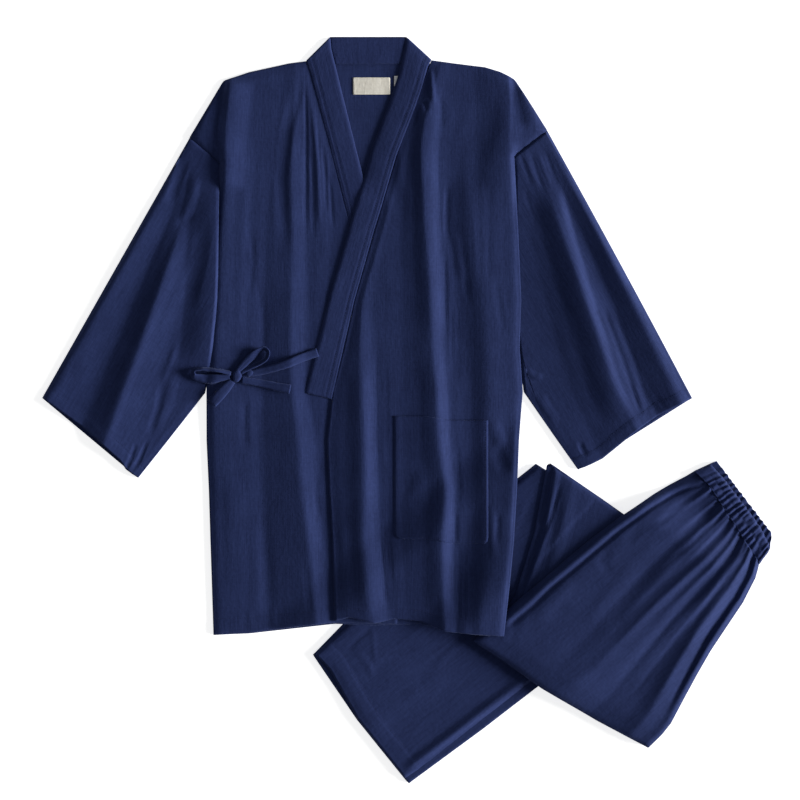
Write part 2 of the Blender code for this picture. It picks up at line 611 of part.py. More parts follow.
def build_jacket():
    """The back, both fronts, sleeves, neck band, label, tag and pocket. Returns the fronts' upper surfaces."""
    back = panel(BACK_LINES, BACK_SECTIONS, BACK_TOP, BACK_HEM)
    add_sheet("back", raised(back, CLOTH), back)
    under = panel(UNDER_LINES, UNDER_SECTIONS, UNDER_SHOULDER, UNDER_HEM)
    add_sheet("front_right", raised(under, CLOTH), under)
    over = panel(OVER_LINES, OVER_SECTIONS, OVER_SHOULDER, OVER_HEM)
    add_sheet("front_left", raised(over, CLOTH), over)
    for name, runs, below in (
        ("sleeve_right", RIGHT_SLEEVE, RIGHT_SLEEVE_BELOW),
        ("sleeve_left", LEFT_SLEEVE, LEFT_SLEEVE_BELOW),
    ):
        add_tube(name, *sleeve_tube(runs, below))
    for name, stations, cols in (
        ("neck_band_back", BAND_BACK, 7),
        ("neck_band_right", BAND_RIGHT, 4),
        ("lapel", LAPEL, 4),
    ):
        grid = band_grid(stations, cols)
        add_sheet(name, raised(grid, BAND), grid, colour=NAVY_BAND)
    return raised(under, CLOTH), raised(over, CLOTH)


def add_slip(name, box, colour):
    """A small flat slip of woven tape on the inside of the back."""
    left, right, low, high = box
    plan = np.stack(np.meshgrid((left, right), (high, low)), axis=-1).astype(float)
    lower = np.concatenate([plan, np.full((2, 2, 1), FRONT_AT_SEAM)], axis=-1)
    add_sheet(name, raised(lower, LABEL_CLOTH), lower, colour=colour)


def grid_between(grid, rows, cols):
    """Points of a grid at row and column numbers that may lie between its own."""
    for axis, places in ((0, rows), (1, cols)):
        first = np.minimum(np.floor(places).astype(int), grid.shape[axis] - 2)
        past = (places - first).reshape([-1 if i == axis else 1 for i in range(3)])
        grid = np.take(grid, first, axis) * (1 - past) + np.take(grid, first + 1, axis) * past
    return grid


def add_pocket(over):
    """The patch pocket, made from the points of the front that it is sewn on."""
    left, right, top, bottom = POCKET
    column = over[:, over.shape[1] // 2]
    first, last = (float(np.interp(-y, -column[:, 1], np.arange(len(column)))) for y in (top, bottom))
    middle = over[int(round((first + last) / 2))]
    start, end = (float(np.interp(x, middle[:, 0], np.arange(len(middle)))) for x in (left, right))
    rows = np.array([first, *range(int(first) + 1, int(np.ceil(last))), last])
    cols = np.array([start, *range(int(start) + 1, int(np.ceil(end))), end])
    lower = raised(grid_between(over, rows, cols), SEAM)
    add_sheet("pocket", raised(lower, POCKET_CLOTH), lower)


def add_tie(name, bends, cloth_below):
    """A flat cotton tie along its bends, lying on the cloth below it."""
    table = np.array(bends, float)
    if not table[:, 2].any():
        table = between(table, [TIE_CELLS] * (len(bends) - 1), 0)
    middle = table[:, :2]
    ahead = np.gradient(middle, axis=0)
    ahead /= np.linalg.norm(ahead, axis=1, keepdims=True)
    side = np.stack([-ahead[:, 1], ahead[:, 0]], axis=-1)
    roll = np.radians(table[:, 4])
    floor = height_on(cloth_below, middle[:, 0], middle[:, 1]) + TIE_LIFT + table[:, 2]
    lower = []
    for share in (-0.5, 0.0, 0.5):
        reach = share * table[:, 3]
        edge = middle + side * (reach * np.cos(roll))[:, None]
        height = floor + reach * np.sin(roll)
        flat = np.cos(roll) > 0.97
        height[flat] = (height_on(cloth_below, edge[:, 0], edge[:, 1]) + TIE_LIFT + table[:, 2])[flat]
        lower.append(np.column_stack([edge, height]))
    lower = np.stack(lower, axis=1)
    out = np.column_stack([-side * np.sin(roll)[:, None], np.cos(roll)])
    add_sheet(name, lower + TIE_CLOTH * out[:, None], lower)


def add_knot(cloth_below):
    """The bow's knot: a small rounded lump."""
    x, y, half_x, half_y, height = KNOT
    angles = np.linspace(0, 2 * np.pi, 12, endpoint=False)
    floor = float(height_on(cloth_below, np.array([x]), np.array([y]))[0]) + TIE_LIFT
    levels = ((0.0, 0.72), (0.2, 0.94), (0.5, 1.0), (0.8, 0.86), (1.0, 0.55))
    rings = [
        np.column_stack([
            x + half_x * size * np.cos(angles), y + half_y * size * np.sin(angles),
            np.full(len(angles), floor + share * height),
        ])
        for share, size in levels
    ]
    count = len(angles)
    index = np.arange(len(rings) * count).reshape(len(rings), count)
    caps = []
    for ring, centre in ((index[0], len(rings) * count), (index[-1][::-1], len(rings) * count + 1)):
        caps.append(np.stack([np.full(count, centre), np.roll(ring, -1), ring], 1))
    ends = [[x, y, floor], [x, y, floor + height]]
    points = np.concatenate([*rings, ends])
    triangles = np.concatenate([cell_triangles(index, closed=True)[:, ::-1], *caps])
    add_object("bow_knot", points, triangles, NAVY)


def build_trousers():
    """The three folded stretches, each a layered core with its shown cloth on top, and the waistband."""
    def on_floor(x, y):
        return np.zeros(np.shape(x))

    def on_legs(x, y):
        return pile(x, y, LEGS_CORNERS)

    def on_thighs(x, y):
        return SEAT_ON_PILE * pile(x, y, LEGS_CORNERS, THIGHS_CORNERS)

    for name, shown, core_edges, edges, rows, cols, finer, floor_of in (
        ("legs_inside", "leg_shown", LEGS_EDGES, LEG_SHOWN_EDGES, 10, 7, 1, on_floor),
        ("thighs_inside", "thigh_shown", THIGHS_EDGES, THIGHS_EDGES, 11, 10, 1, on_legs),
        ("seat_inside", "seat_shown", SEAT_INSIDE_EDGES, SEAT_EDGES, 15, 16, 2, on_thighs),
    ):
        core = add_core(name, core_edges, rows, cols, floor_of)
        plan = patch(edges, rows, finer * (cols - 1) + 1)
        floor = between(core[..., 2], [finer] * (cols - 1), 1) + CORE_GAP
        if shown == "seat_shown":
            floor = floor + gathers(*floor.shape)
        lower = np.concatenate([plan, floor[..., None]], axis=-1)
        add_sheet(shown, raised(lower, CLOTH), lower)


def gathers(rows, cols):
    """How far the seat's cloth rises in folds that fan out from the waistband."""
    u = np.linspace(0, 1, cols)[None, :]
    v = np.linspace(0, 1, rows)[:, None]
    rise = np.zeros((rows, cols))
    for fold in GATHERS:
        crest = fold.at_waist + (fold.at_fold - fold.at_waist) * v
        across = np.clip(np.abs(u - crest) / fold.half, 0, 1)
        rise += fold.rise * np.cos(across * np.pi / 2) ** 2 * ease((fold.reach - v) / 0.5)
    return rise


def build_waistband():
    """The elastic band: two gathered layers joined at the sides, the back one standing past the front one."""
    cols = WAIST_PLEATS * WAIST_PLEAT_CELLS + 1
    u = np.linspace(0, 1, cols)
    wave = WAIST_PLEAT_HEIGHT * (0.5 - 0.5 * np.cos(2 * np.pi * WAIST_PLEATS * u))
    seam, front, back = (
        np.array(edge[0], float) * (1 - u[:, None]) + np.array(edge[1], float) * u[:, None]
        for edge in (WAIST_SEAM, WAIST_FRONT_TOP, WAIST_BACK_TOP)
    )
    out = (seam[0] - seam[-1]) / np.linalg.norm(seam[0] - seam[-1])
    rings = []
    for wall, base in ((0.0, 0 * wave), (CLOTH, WAIST_LOWER_CLOTH + WAIST_PLEAT_BELOW * wave)):
        rows = []
        for level in (0.0, 0.5, 1.0):
            top = seam * (1 - level) + front * level
            bottom = seam * (1 - level) + back * level
            crown = WAIST_HEIGHT - WAIST_DROP * level - wall + wave
            roll = out * (WAIST_ROLL - wall)
            sides = [
                np.append((top[end] + bottom[end]) / 2 + sign * roll, WAIST_HEIGHT / 2)
                for end, sign in ((0, 1), (-1, -1))
            ]
            rows.append(np.concatenate([
                [sides[0]], np.column_stack([top, crown]), [sides[1]], np.column_stack([bottom, base])[::-1],
            ]))
        rings.append(np.stack(rows))
    add_tube("waistband", *rings)


def main():
    """Clears the scene and builds the whole set."""
    for old in list(bpy.data.objects):
        bpy.data.objects.remove(old)
    under, over = build_jacket()
    add_slip("label", LABEL, CREAM)
    add_slip("size_tag", SIZE_TAG, WHITE)
    add_pocket(over)
    for name, bends in TIES.items():
        add_tie(name, bends, under)
    add_knot(under)
    build_trousers()
    build_waistband()


if __name__ == "__main__":
    main()
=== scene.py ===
"""The looks of a kimono pyjama set laid flat: a wrap jacket on top of its trousers, folded in three.

Tables are in millimetres and MM turns them into metres. X runs to the right of the garment as it lies, Y towards
its collar and Z up. Right and left in the names are the wearer's. Every piece is a closed shell of cloth on the
form of its solid, with the creases of the laid cloth placed one by one.
"""

import logging
import math
from dataclasses import dataclass, field
from enum import Enum
from typing import NamedTuple

import bpy
import numpy as np
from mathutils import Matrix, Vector
from mathutils.bvhtree import BVHTree

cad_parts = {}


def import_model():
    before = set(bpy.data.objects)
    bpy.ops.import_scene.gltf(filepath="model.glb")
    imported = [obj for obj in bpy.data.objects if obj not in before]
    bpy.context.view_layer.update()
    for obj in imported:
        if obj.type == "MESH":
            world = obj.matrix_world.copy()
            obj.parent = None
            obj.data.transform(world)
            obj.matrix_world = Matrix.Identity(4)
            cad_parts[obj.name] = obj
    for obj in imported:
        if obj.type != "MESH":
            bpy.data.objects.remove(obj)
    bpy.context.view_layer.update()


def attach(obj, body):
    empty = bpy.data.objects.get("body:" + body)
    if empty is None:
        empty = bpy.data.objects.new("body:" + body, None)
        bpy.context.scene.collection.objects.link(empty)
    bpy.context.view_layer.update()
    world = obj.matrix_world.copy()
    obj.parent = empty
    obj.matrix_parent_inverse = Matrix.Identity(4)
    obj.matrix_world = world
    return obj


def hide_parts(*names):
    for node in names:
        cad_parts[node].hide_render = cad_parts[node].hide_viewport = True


LOG = logging.getLogger("pyjama_set")
MM = 0.001
BODY = "root"
Points = tuple[tuple[float, float], ...]

# Cloth, seams, and the height at which each layer of the jacket lies when it is flat
CLOTH = 1.3
BAND = 2.0
SEAM = 0.3
FRONT_AT_SEAM = CLOTH + SEAM
UNDER_FRONT = 2.5
UNDER_BAND = 2.1
OVER_FRONT = 4.8
OVER_BAND = 4.6

# Sleeves: two layers with a rolled edge
SLEEVE_HEIGHT = 3.6
SLEEVE_ROLL = 2.0

# Trousers: each of three stretches is four layers of cloth
STRETCH = 6.6
CORE_GAP = 0.5
CORE = STRETCH - CLOTH - CORE_GAP
PILE_MARGIN = 8.0
PILE_SLOPE = 60.0
SEAT_ON_PILE = 1.11
JACKET_ON_PILE = 1.10

# How close the points of a shown surface and of a hidden one lie
FINE = 2.8
COARSE = 6.0

# The cut of the back, and of a sleeve from armhole to cuff
BACK_CUT = (470.0, 745.0)
SLEEVE_CUT = 440.0

# How sharply a flank starts or ends
FLANK_POWER = 1.8

# A turned hem: how far inside its inner edge its stitches lie, and how far it takes to reach its thickness
HEM_INSET = 1.5
HEM_STEP = 3.0

# How far a row of stitches stands over the cloth
STITCH_LIFT = 0.12

# The table of random numbers behind a crinkle, its contrast and its lowest and highest share
CRINKLE_TABLE = 128
CRINKLE_CONTRAST = 2.2
CRINKLE_LIMITS = (-0.2, 1.2)

# The height that a surface is looked for from, and the one that its nearest point is looked for from
ABOVE_ALL = 500.0
NEAR_CLOTH = 8.0


class Flank(Enum):
    """How the cloth runs from one line of a panel to the next."""

    SOFT = "soft"
    STRAIGHT = "straight"
    STEEPENING = "steepening"
    EASING = "easing"

    def weight(self, t: np.ndarray) -> np.ndarray:
        """How far the height has come at share t of the way."""
        if self is Flank.STRAIGHT:
            return t
        if self is Flank.STEEPENING:
            return t**FLANK_POWER
        if self is Flank.EASING:
            return 1 - (1 - t) ** FLANK_POWER
        return ease(t)


class Line(NamedTuple):
    """A line down a panel: the height at which it lies when flat, and how the cloth runs from it to the next."""

    name: str
    bed: float
    flank: Flank = Flank.SOFT


class Section(NamedTuple):
    """A section across a panel: its height at both edges, and each line's x and rise."""

    left_y: float
    right_y: float
    at: tuple
    rise: tuple
    bed: float = 0.0


class Run(NamedTuple):
    """A line down a sleeve from armhole to cuff, its rise at start, middle and end, and the flank after it."""

    start: tuple
    middle: tuple
    end: tuple
    rise: tuple
    flank: Flank = Flank.SOFT


class Gather(NamedTuple):
    """A fold that fans out from the waistband, by its places across the seat, its half width, rise and reach."""

    at_waist: float
    at_fold: float
    half: float
    rise: float
    reach: float


class Station(NamedTuple):
    """A station along a band: its outer and inner edge, the height that it lies at, and the inner edge's sag."""

    outer: tuple
    inner: tuple
    bed: float
    sag: float = 0.0


class Lump(NamedTuple):
    """A turn of the tie in the knot: its middle, half sizes, height, how it tapers down and how it is turned."""

    x: float
    y: float
    half_x: float
    half_y: float
    height: float
    taper: float
    turn: float


class Bend(NamedTuple):
    """A station along a tie: its middle, the lift over the cloth below, its width and how far it is rolled."""

    x: float
    y: float
    lift: float
    width: float
    roll: float


def each(kind: type, *rows: tuple) -> tuple:
    """A table: one record of a kind from each row."""
    return tuple(kind(*row) for row in rows)


def linked(name: str, data: bpy.types.ID) -> bpy.types.Object:
    """A new object of the scene."""
    made = bpy.data.objects.new(name, data)
    bpy.context.scene.collection.objects.link(made)
    return made


def ease(t: np.ndarray) -> np.ndarray:
    """A smooth step from 0 to 1."""
    t = np.clip(t, 0.0, 1.0)
    return t * t * (3.0 - 2.0 * t)


def outside(corners: Points, x: np.ndarray, y: np.ndarray) -> np.ndarray:
    """How far points lie outside a polygon whose corners go round it anticlockwise."""
    table = np.array(corners, float)
    far = np.full(np.shape(x), -np.inf)
    for (ax, ay), (bx, by) in zip(table, np.roll(table, -1, axis=0)):
        far = np.maximum(far, ((x - ax) * (by - ay) - (y - ay) * (bx - ax)) / math.hypot(bx - ax, by - ay))
    return far


def pile(x: np.ndarray, y: np.ndarray, *layers: Points) -> np.ndarray:
    """The height of the folded stretches under points, with the slope that cloth takes down to the floor."""
    height = np.zeros(np.shape(x))
    for corners in layers:
        height += (STRETCH + SEAM) * ease(1 - (outside(corners, x, y) - PILE_MARGIN) / PILE_SLOPE)
    return height


def travelled(points: np.ndarray) -> np.ndarray:
    """How far along a polyline each of its points lies."""
    return np.concatenate([[0], np.cumsum(np.linalg.norm(np.diff(points, axis=0), axis=1))])


def along(points: Points, count: int) -> np.ndarray:
    """Points spaced evenly along a polyline."""
    table = np.array(points, float)
    length = travelled(table[:, :2])
    places = np.linspace(0, length[-1], count)
    return np.stack([np.interp(places, length, column) for column in table.T], axis=-1)


def smoothed(values: np.ndarray, sigma: float, axis: int) -> np.ndarray:
    """Values blurred along an axis, with their ends held.

    Args:
        values: Any array.
        sigma: Spread of the blur, in steps of the axis.
        axis: The axis to blur along.

    Returns:
        An array of the same shape.
    """
    reach = int(3 * sigma) + 1
    kernel = np.exp(-0.5 * (np.arange(-reach, reach + 1) / sigma) ** 2)
    kernel /= kernel.sum()
    reach = min(reach, values.shape[axis] - 1)
    kernel = kernel[len(kernel) // 2 - reach : len(kernel) // 2 + reach + 1]
    kernel /= kernel.sum()
    pad = [(reach, reach) if i == axis % values.ndim else (0, 0) for i in range(values.ndim)]
    padded = np.pad(values, pad, mode="reflect", reflect_type="odd")
    return np.apply_along_axis(lambda line: np.convolve(line, kernel, mode="valid"), axis, padded)


def through(knots: np.ndarray, values: np.ndarray, at: np.ndarray) -> np.ndarray:
    """Values at new places on a smooth curve through given ones.

    Args:
        knots: Rising places of the given values.
        values: The given values, one row a knot.
        at: The new places.

    Returns:
        One row for each new place.
    """
    knots, values = np.asarray(knots, float), np.asarray(values, float)
    tangent = np.gradient(values, knots, axis=0)
    index = np.clip(np.searchsorted(knots, at, side="right") - 1, 0, len(knots) - 2)
    gap = np.diff(knots)[index].reshape(-1, *[1] * (values.ndim - 1))
    t = (np.asarray(at) - knots[index]).reshape(gap.shape) / gap
    start, end = values[index], values[index + 1]
    lead, trail = tangent[index] * gap, tangent[index + 1] * gap
    return (
        (2 * t**3 - 3 * t**2 + 1) * start + (t**3 - 2 * t**2 + t) * lead
        + (3 * t**2 - 2 * t**3) * end + (t**3 - t**2) * trail
    )


def shares(cells: list[int]) -> tuple[np.ndarray, np.ndarray]:
    """The index of the named line before each grid line, and how far past it that lies."""
    index = np.concatenate([np.full(n, i) for i, n in enumerate(cells)] + [[len(cells) - 1]]).astype(int)
    past = np.concatenate([np.arange(n) / n for n in cells] + [[1.0]])
    return index, past


def filled(values: np.ndarray, cells: list[int], axis: int, flanks: list[Flank] | None = None) -> np.ndarray:
    """Values at named lines, filled in for every grid line between them.

    Args:
        values: Values at the named lines.
        cells: Number of cells between each line and the next.
        axis: The axis that the lines follow each other on.
        flanks: How the values run between the lines; straight where it is left out.

    Returns:
        The values with that axis filled in.
    """
    index, past = shares(cells)
    weight = past.copy()
    if flanks is not None:
        for number, flank in enumerate(flanks):
            weight[index == number] = flank.weight(past[index == number])
    weight = weight.reshape([-1 if i == axis else 1 for i in range(np.ndim(values))])
    return np.take(values, index, axis) * (1 - weight) + np.take(values, index + 1, axis) * weight


def patch(edges: dict[str, Points], rows: int, cols: int) -> np.ndarray:
    """A grid inside four edges, in plan. Rows run from the start edge to the end edge."""
    start, end = along(edges["start"], cols), along(edges["end"], cols)
    left, right = along(edges["left"], rows), along(edges["right"], rows)
    u = np.linspace(0, 1, cols)[None, :, None]
    v = np.linspace(0, 1, rows)[:, None, None]
    corners = (1 - v) * ((1 - u) * start[0] + u * start[-1]) + v * ((1 - u) * end[0] + u * end[-1])
    return (1 - u) * left[:, None] + u * right[:, None] + (1 - v) * start[None] + v * end[None] - corners


@dataclass(frozen=True)
class Crease:
    """A crease in the laid cloth: a soft ridge, or a trough where its rise is negative.

    A path that runs down the garment has its left side at +X.
    """

    path: Points
    rise: float
    left: float
    right: float
    fade: float = 0.3

    def on(self, x: np.ndarray, y: np.ndarray) -> np.ndarray:
        """How far the crease lifts the cloth at points in plan."""
        table = np.array(self.path, float)
        widest = max(self.left, self.right)
        low, high = table.min(0) - widest, table.max(0) + widest
        near = (x > low[0]) & (x < high[0]) & (y > low[1]) & (y < high[1])
        lift = np.zeros(np.shape(x))
        if not near.any():
            return lift
        px, py = x[near], y[near]
        best = np.full(px.shape, np.inf)
        side, place = np.zeros(px.shape), np.zeros(px.shape)
        gone = 0.0
        for (ax, ay), (bx, by) in zip(table[:-1], table[1:]):
            length = math.hypot(bx - ax, by - ay)
            t = np.clip(((px - ax) * (bx - ax) + (py - ay) * (by - ay)) / length**2, 0, 1)
            far = np.hypot(px - ax - t * (bx - ax), py - ay - t * (by - ay))
            closer = far < best
            best = np.where(closer, far, best)
            turn = (bx - ax) * (py - ay) - (by - ay) * (px - ax)
            side = np.where(closer, turn, side)
            place = np.where(closer, gone + t * length, place)
            gone += length
        width = np.where(side > 0, self.left, self.right)
        bell = np.clip(1 - (best / width) ** 2, 0, 1) ** 1.5
        ends = ease(np.minimum(place, gone - place) / max(self.fade * gone, 1e-6)) if self.fade else 1.0
        lift[near] = self.rise * bell * ends
        return lift


@dataclass(frozen=True)
class Crinkle:
    """Uneven cloth: random swells of one size, longer along the warp than across it."""

    across: float
    along: float
    height: float
    seed: int

    def on(self, u: np.ndarray, v: np.ndarray) -> np.ndarray:
        """The lift at points of the cloth, from 0 to about its height."""
        table = np.random.default_rng(self.seed).uniform(0, 1, (CRINKLE_TABLE, CRINKLE_TABLE))
        total = np.zeros(np.shape(u))
        places = []
        for value, size in ((u, self.across), (v, self.along)):
            whole = np.floor(value / size).astype(int)
            t = value / size - whole
            weights = (
                (1 - t) ** 3 / 6, (3 * t**3 - 6 * t**2 + 4) / 6,
                (-3 * t**3 + 3 * t**2 + 3 * t + 1) / 6, t**3 / 6,
            )
            places.append((whole, weights))
        (row, row_weights), (col, col_weights) = places
        for i in range(4):
            for j in range(4):
                value = table[(row + i) % CRINKLE_TABLE, (col + j) % CRINKLE_TABLE]
                total += value * row_weights[i] * col_weights[j]
        return self.height * np.clip(0.5 + (total - 0.5) * CRINKLE_CONTRAST, *CRINKLE_LIMITS)


# The unevenness of the laid cloth, of the bands and of the narrow ties
LAID = (
    Crinkle(5.5, 120, 0.10, 3), Crinkle(13, 210, 0.32, 5), Crinkle(36, 150, 0.9, 8), Crinkle(9, 13, 0.09, 13),
)
BANDED = (Crinkle(60, 9, 0.28, 21), Crinkle(26, 24, 0.25, 22), Crinkle(5, 40, 0.10, 23))
SMALL = (Crinkle(5, 18, 0.18, 31), Crinkle(4, 6, 0.08, 32))


class Grain(NamedTuple):
    """The way the warp runs on a piece, as degrees from the Y axis, anticlockwise."""

    turn: float

    def lay(self, x: np.ndarray, y: np.ndarray) -> tuple[np.ndarray, np.ndarray]:
        """Places on the cloth, across and along its warp, of points in plan."""
        c, s = math.cos(math.radians(self.turn)), math.sin(math.radians(self.turn))
        return c * x + s * y, c * y - s * x


STRAIGHT_GRAIN = Grain(0.0)


def uneven(grid: np.ndarray, grain: Grain, crinkles: tuple[Crinkle, ...], creases: tuple[Crease, ...] = (),
           share: np.ndarray | float = 1.0) -> np.ndarray:
    """A copy of a surface with its creases and unevenness.

    Args:
        grid: The surface.
        grain: The way its warp runs.
        crinkles: The unevenness.
        creases: The creases, given one by one.
        share: How much of the unevenness there is, over the surface.

    Returns:
        The new surface.
    """
    made = grid.copy()
    u, v = grain.lay(grid[..., 0], grid[..., 1])
    for crinkle in crinkles:
        made[..., 2] += share * crinkle.on(u, v)
    for crease in creases:
        made[..., 2] += crease.on(grid[..., 0], grid[..., 1])
    return made


def raised(grid: np.ndarray, height: float | np.ndarray) -> np.ndarray:
    """A copy of a grid, moved up."""
    made = grid.copy()
    made[..., 2] += height
    return made


def border(grid: np.ndarray) -> np.ndarray:
    """The border of a grid as one loop, along its first row first."""
    return np.concatenate([grid[0, :-1], grid[:-1, -1], grid[-1, :0:-1], grid[:0:-1, 0]])


def quads(index: np.ndarray, closed: bool = False) -> np.ndarray:
    """Four-sided faces over a grid of vertex numbers."""
    if closed:
        index = np.concatenate([index, index[:, :1]], axis=1)
    corners = (index[:-1, :-1], index[1:, :-1], index[1:, 1:], index[:-1, 1:])
    return np.stack([corner.ravel() for corner in corners], 1)


def bulged(grid: np.ndarray, out: float) -> np.ndarray:
    """The border loop of a grid in plan, moved outwards."""
    loop = border(grid)[:, :2]
    ahead = np.roll(loop, -1, axis=0) - np.roll(loop, 1, axis=0)
    away = np.stack([-ahead[:, 1], ahead[:, 0]], axis=-1)
    away /= np.linalg.norm(away, axis=1, keepdims=True)
    towards = ((loop - loop.mean(0)) * away).sum(1).mean()
    return loop + away * out * np.sign(towards)


def area_of(grid: np.ndarray) -> float:
    """The area of a surface, in square metres."""
    side, down = np.diff(grid, axis=1)[:-1], np.diff(grid, axis=0)[:, :-1]
    return float(np.linalg.norm(np.cross(side, down), axis=-1).sum()) * MM * MM


def girth(outer: np.ndarray) -> tuple[float, float]:
    """How far it is round the widest ring of a tube, in millimetres, and the tube's area, in square metres."""
    closed = np.concatenate([outer, outer[:, :1]], axis=1)
    return float(np.linalg.norm(np.diff(closed, axis=1), axis=-1).sum(1).max()), area_of(closed)


def turned_hem(far: np.ndarray, hem: float, thick: float, depth: float, width: float) -> np.ndarray:
    """What a turned hem adds to the height of the cloth: its second layer, less the groove of its stitches.

    Args:
        far: How far each point lies from the edge that is hemmed.
        hem: The hem's width.
        thick: What its second layer adds.
        depth: The groove's depth.
        width: The groove's half width.

    Returns:
        One height for each point.
    """
    groove = depth * np.exp(-(((far - hem + HEM_INSET) / width) ** 2))
    return thick * ease((hem + HEM_INSET - far) / HEM_STEP) - groove


def hem_row(upper: np.ndarray, far: np.ndarray, hem: float) -> np.ndarray:
    """The points of a surface that lie in the groove of its hem, without the outermost ones."""
    cols = range(2, upper.shape[1] - 2)
    return np.array([upper[int(np.argmin(np.abs(far[:, col] - hem + HEM_INSET))), col] for col in cols])


def edge_distance(grid: np.ndarray, edges: str = "start end left right") -> np.ndarray:
    """How far each point of a grid lies from the named edges of it, in plan."""
    plan = grid[..., :2]
    loops = {"start": plan[0], "end": plan[-1], "left": plan[:, 0], "right": plan[:, -1]}
    far = np.full(plan.shape[:2], np.inf)
    for name in edges.split():
        line = loops[name]
        for a, b in zip(line[:-1], line[1:]):
            way = b - a
            span = max(float(way @ way), 1e-9)
            t = np.clip(((plan - a) @ way) / span, 0, 1)
            far = np.minimum(far, np.linalg.norm(plan - a - t[..., None] * way, axis=-1))
    return far


class Surface:
    """A surface that other pieces lie on."""

    def __init__(self, *grids: np.ndarray) -> None:
        """Takes the upper surfaces of the pieces that carry."""
        points: list = []
        faces: list = []
        for grid in grids:
            index = np.arange(grid[..., 0].size).reshape(grid.shape[:2]) + len(points)
            points += grid.reshape(-1, 3).tolist()
            faces += quads(index).tolist()
        self.tree = BVHTree.FromPolygons(points, faces)

    def height(self, x: np.ndarray, y: np.ndarray) -> np.ndarray:
        """The height of the surface at points in plan."""
        heights = []
        for px, py in zip(np.ravel(x), np.ravel(y)):
            hit = self.tree.ray_cast(Vector((px, py, ABOVE_ALL)), Vector((0, 0, -1)))[0]
            if hit is None:
                hit = self.tree.find_nearest(Vector((px, py, NEAR_CLOTH)))[0]
            heights.append(hit.z)
        return np.reshape(heights, np.shape(x))


# What all the cotton shares: the depth of its relief, in metres, its gloss and its sheen
RELIEF_DEPTH = 0.0006
SPECULAR = 0.12
SHEEN_ROUGHNESS = 0.45
SHEEN_TINT = (0.45, 0.55, 0.95, 1.0)


@dataclass(frozen=True)
class Cotton:
    """Matt double-gauze cotton: its colours in the hollows and on the slubs, and how deep its weave is."""

    name: str
    dark: tuple
    light: tuple
    relief: float = 0.20
    roughness: float = 0.82
    sheen: float = 0.14

    def material(self, weave: bpy.types.NodeTree) -> bpy.types.Material:
        """The material, with the shared weave in it."""
        material = bpy.data.materials.new(self.name)
        material.use_nodes = True
        nodes, links = material.node_tree.nodes, material.node_tree.links
        shader = nodes["Principled BSDF"]
        uv = nodes.new("ShaderNodeUVMap")
        uv.uv_map = "cloth"
        group = nodes.new("ShaderNodeGroup")
        group.node_tree = weave
        mix = nodes.new("ShaderNodeMix")
        mix.data_type = "RGBA"
        mix.inputs["A"].default_value = (*self.dark, 1.0)
        mix.inputs["B"].default_value = (*self.light, 1.0)
        bump = nodes.new("ShaderNodeBump")
        bump.inputs["Strength"].default_value = self.relief
        bump.inputs["Distance"].default_value = RELIEF_DEPTH
        links.new(uv.outputs["UV"], group.inputs["Cloth"])
        links.new(group.outputs["Shade"], mix.inputs["Factor"])
        links.new(mix.outputs["Result"], shader.inputs["Base Color"])
        links.new(group.outputs["Height"], bump.inputs["Height"])
        links.new(bump.outputs["Normal"], shader.inputs["Normal"])
        for name, value in (
            ("Roughness", self.roughness), ("Specular IOR Level", SPECULAR), ("Sheen Weight", self.sheen),
            ("Sheen Roughness", SHEEN_ROUGHNESS), ("Sheen Tint", SHEEN_TINT),
        ):
            shader.inputs[name].default_value = value
        return material


class Streak(NamedTuple):
    """One kind of streak in the weave: its size across and along the warp, in metres, and its two shares."""

    across: float
    along: float
    shade: float
    height: float


# The streaks, from the finest slubs to wide clouds, how far each is moved from the last, and their detail
WEAVE_STREAKS = (
    Streak(0.0014, 0.022, 0.42, 0.30),
    Streak(0.0032, 0.060, 0.26, 0.20),
    Streak(0.0100, 0.200, 0.16, 0.00),
    Streak(0.0180, 0.0014, 0.20, 0.24),
    Streak(0.0042, 0.0050, 0.30, 0.75),
    Streak(0.0300, 0.0350, 0.30, 0.00),
)
STREAK_SHIFT = (3.7, 1.3)
STREAK_DETAIL = 1.5


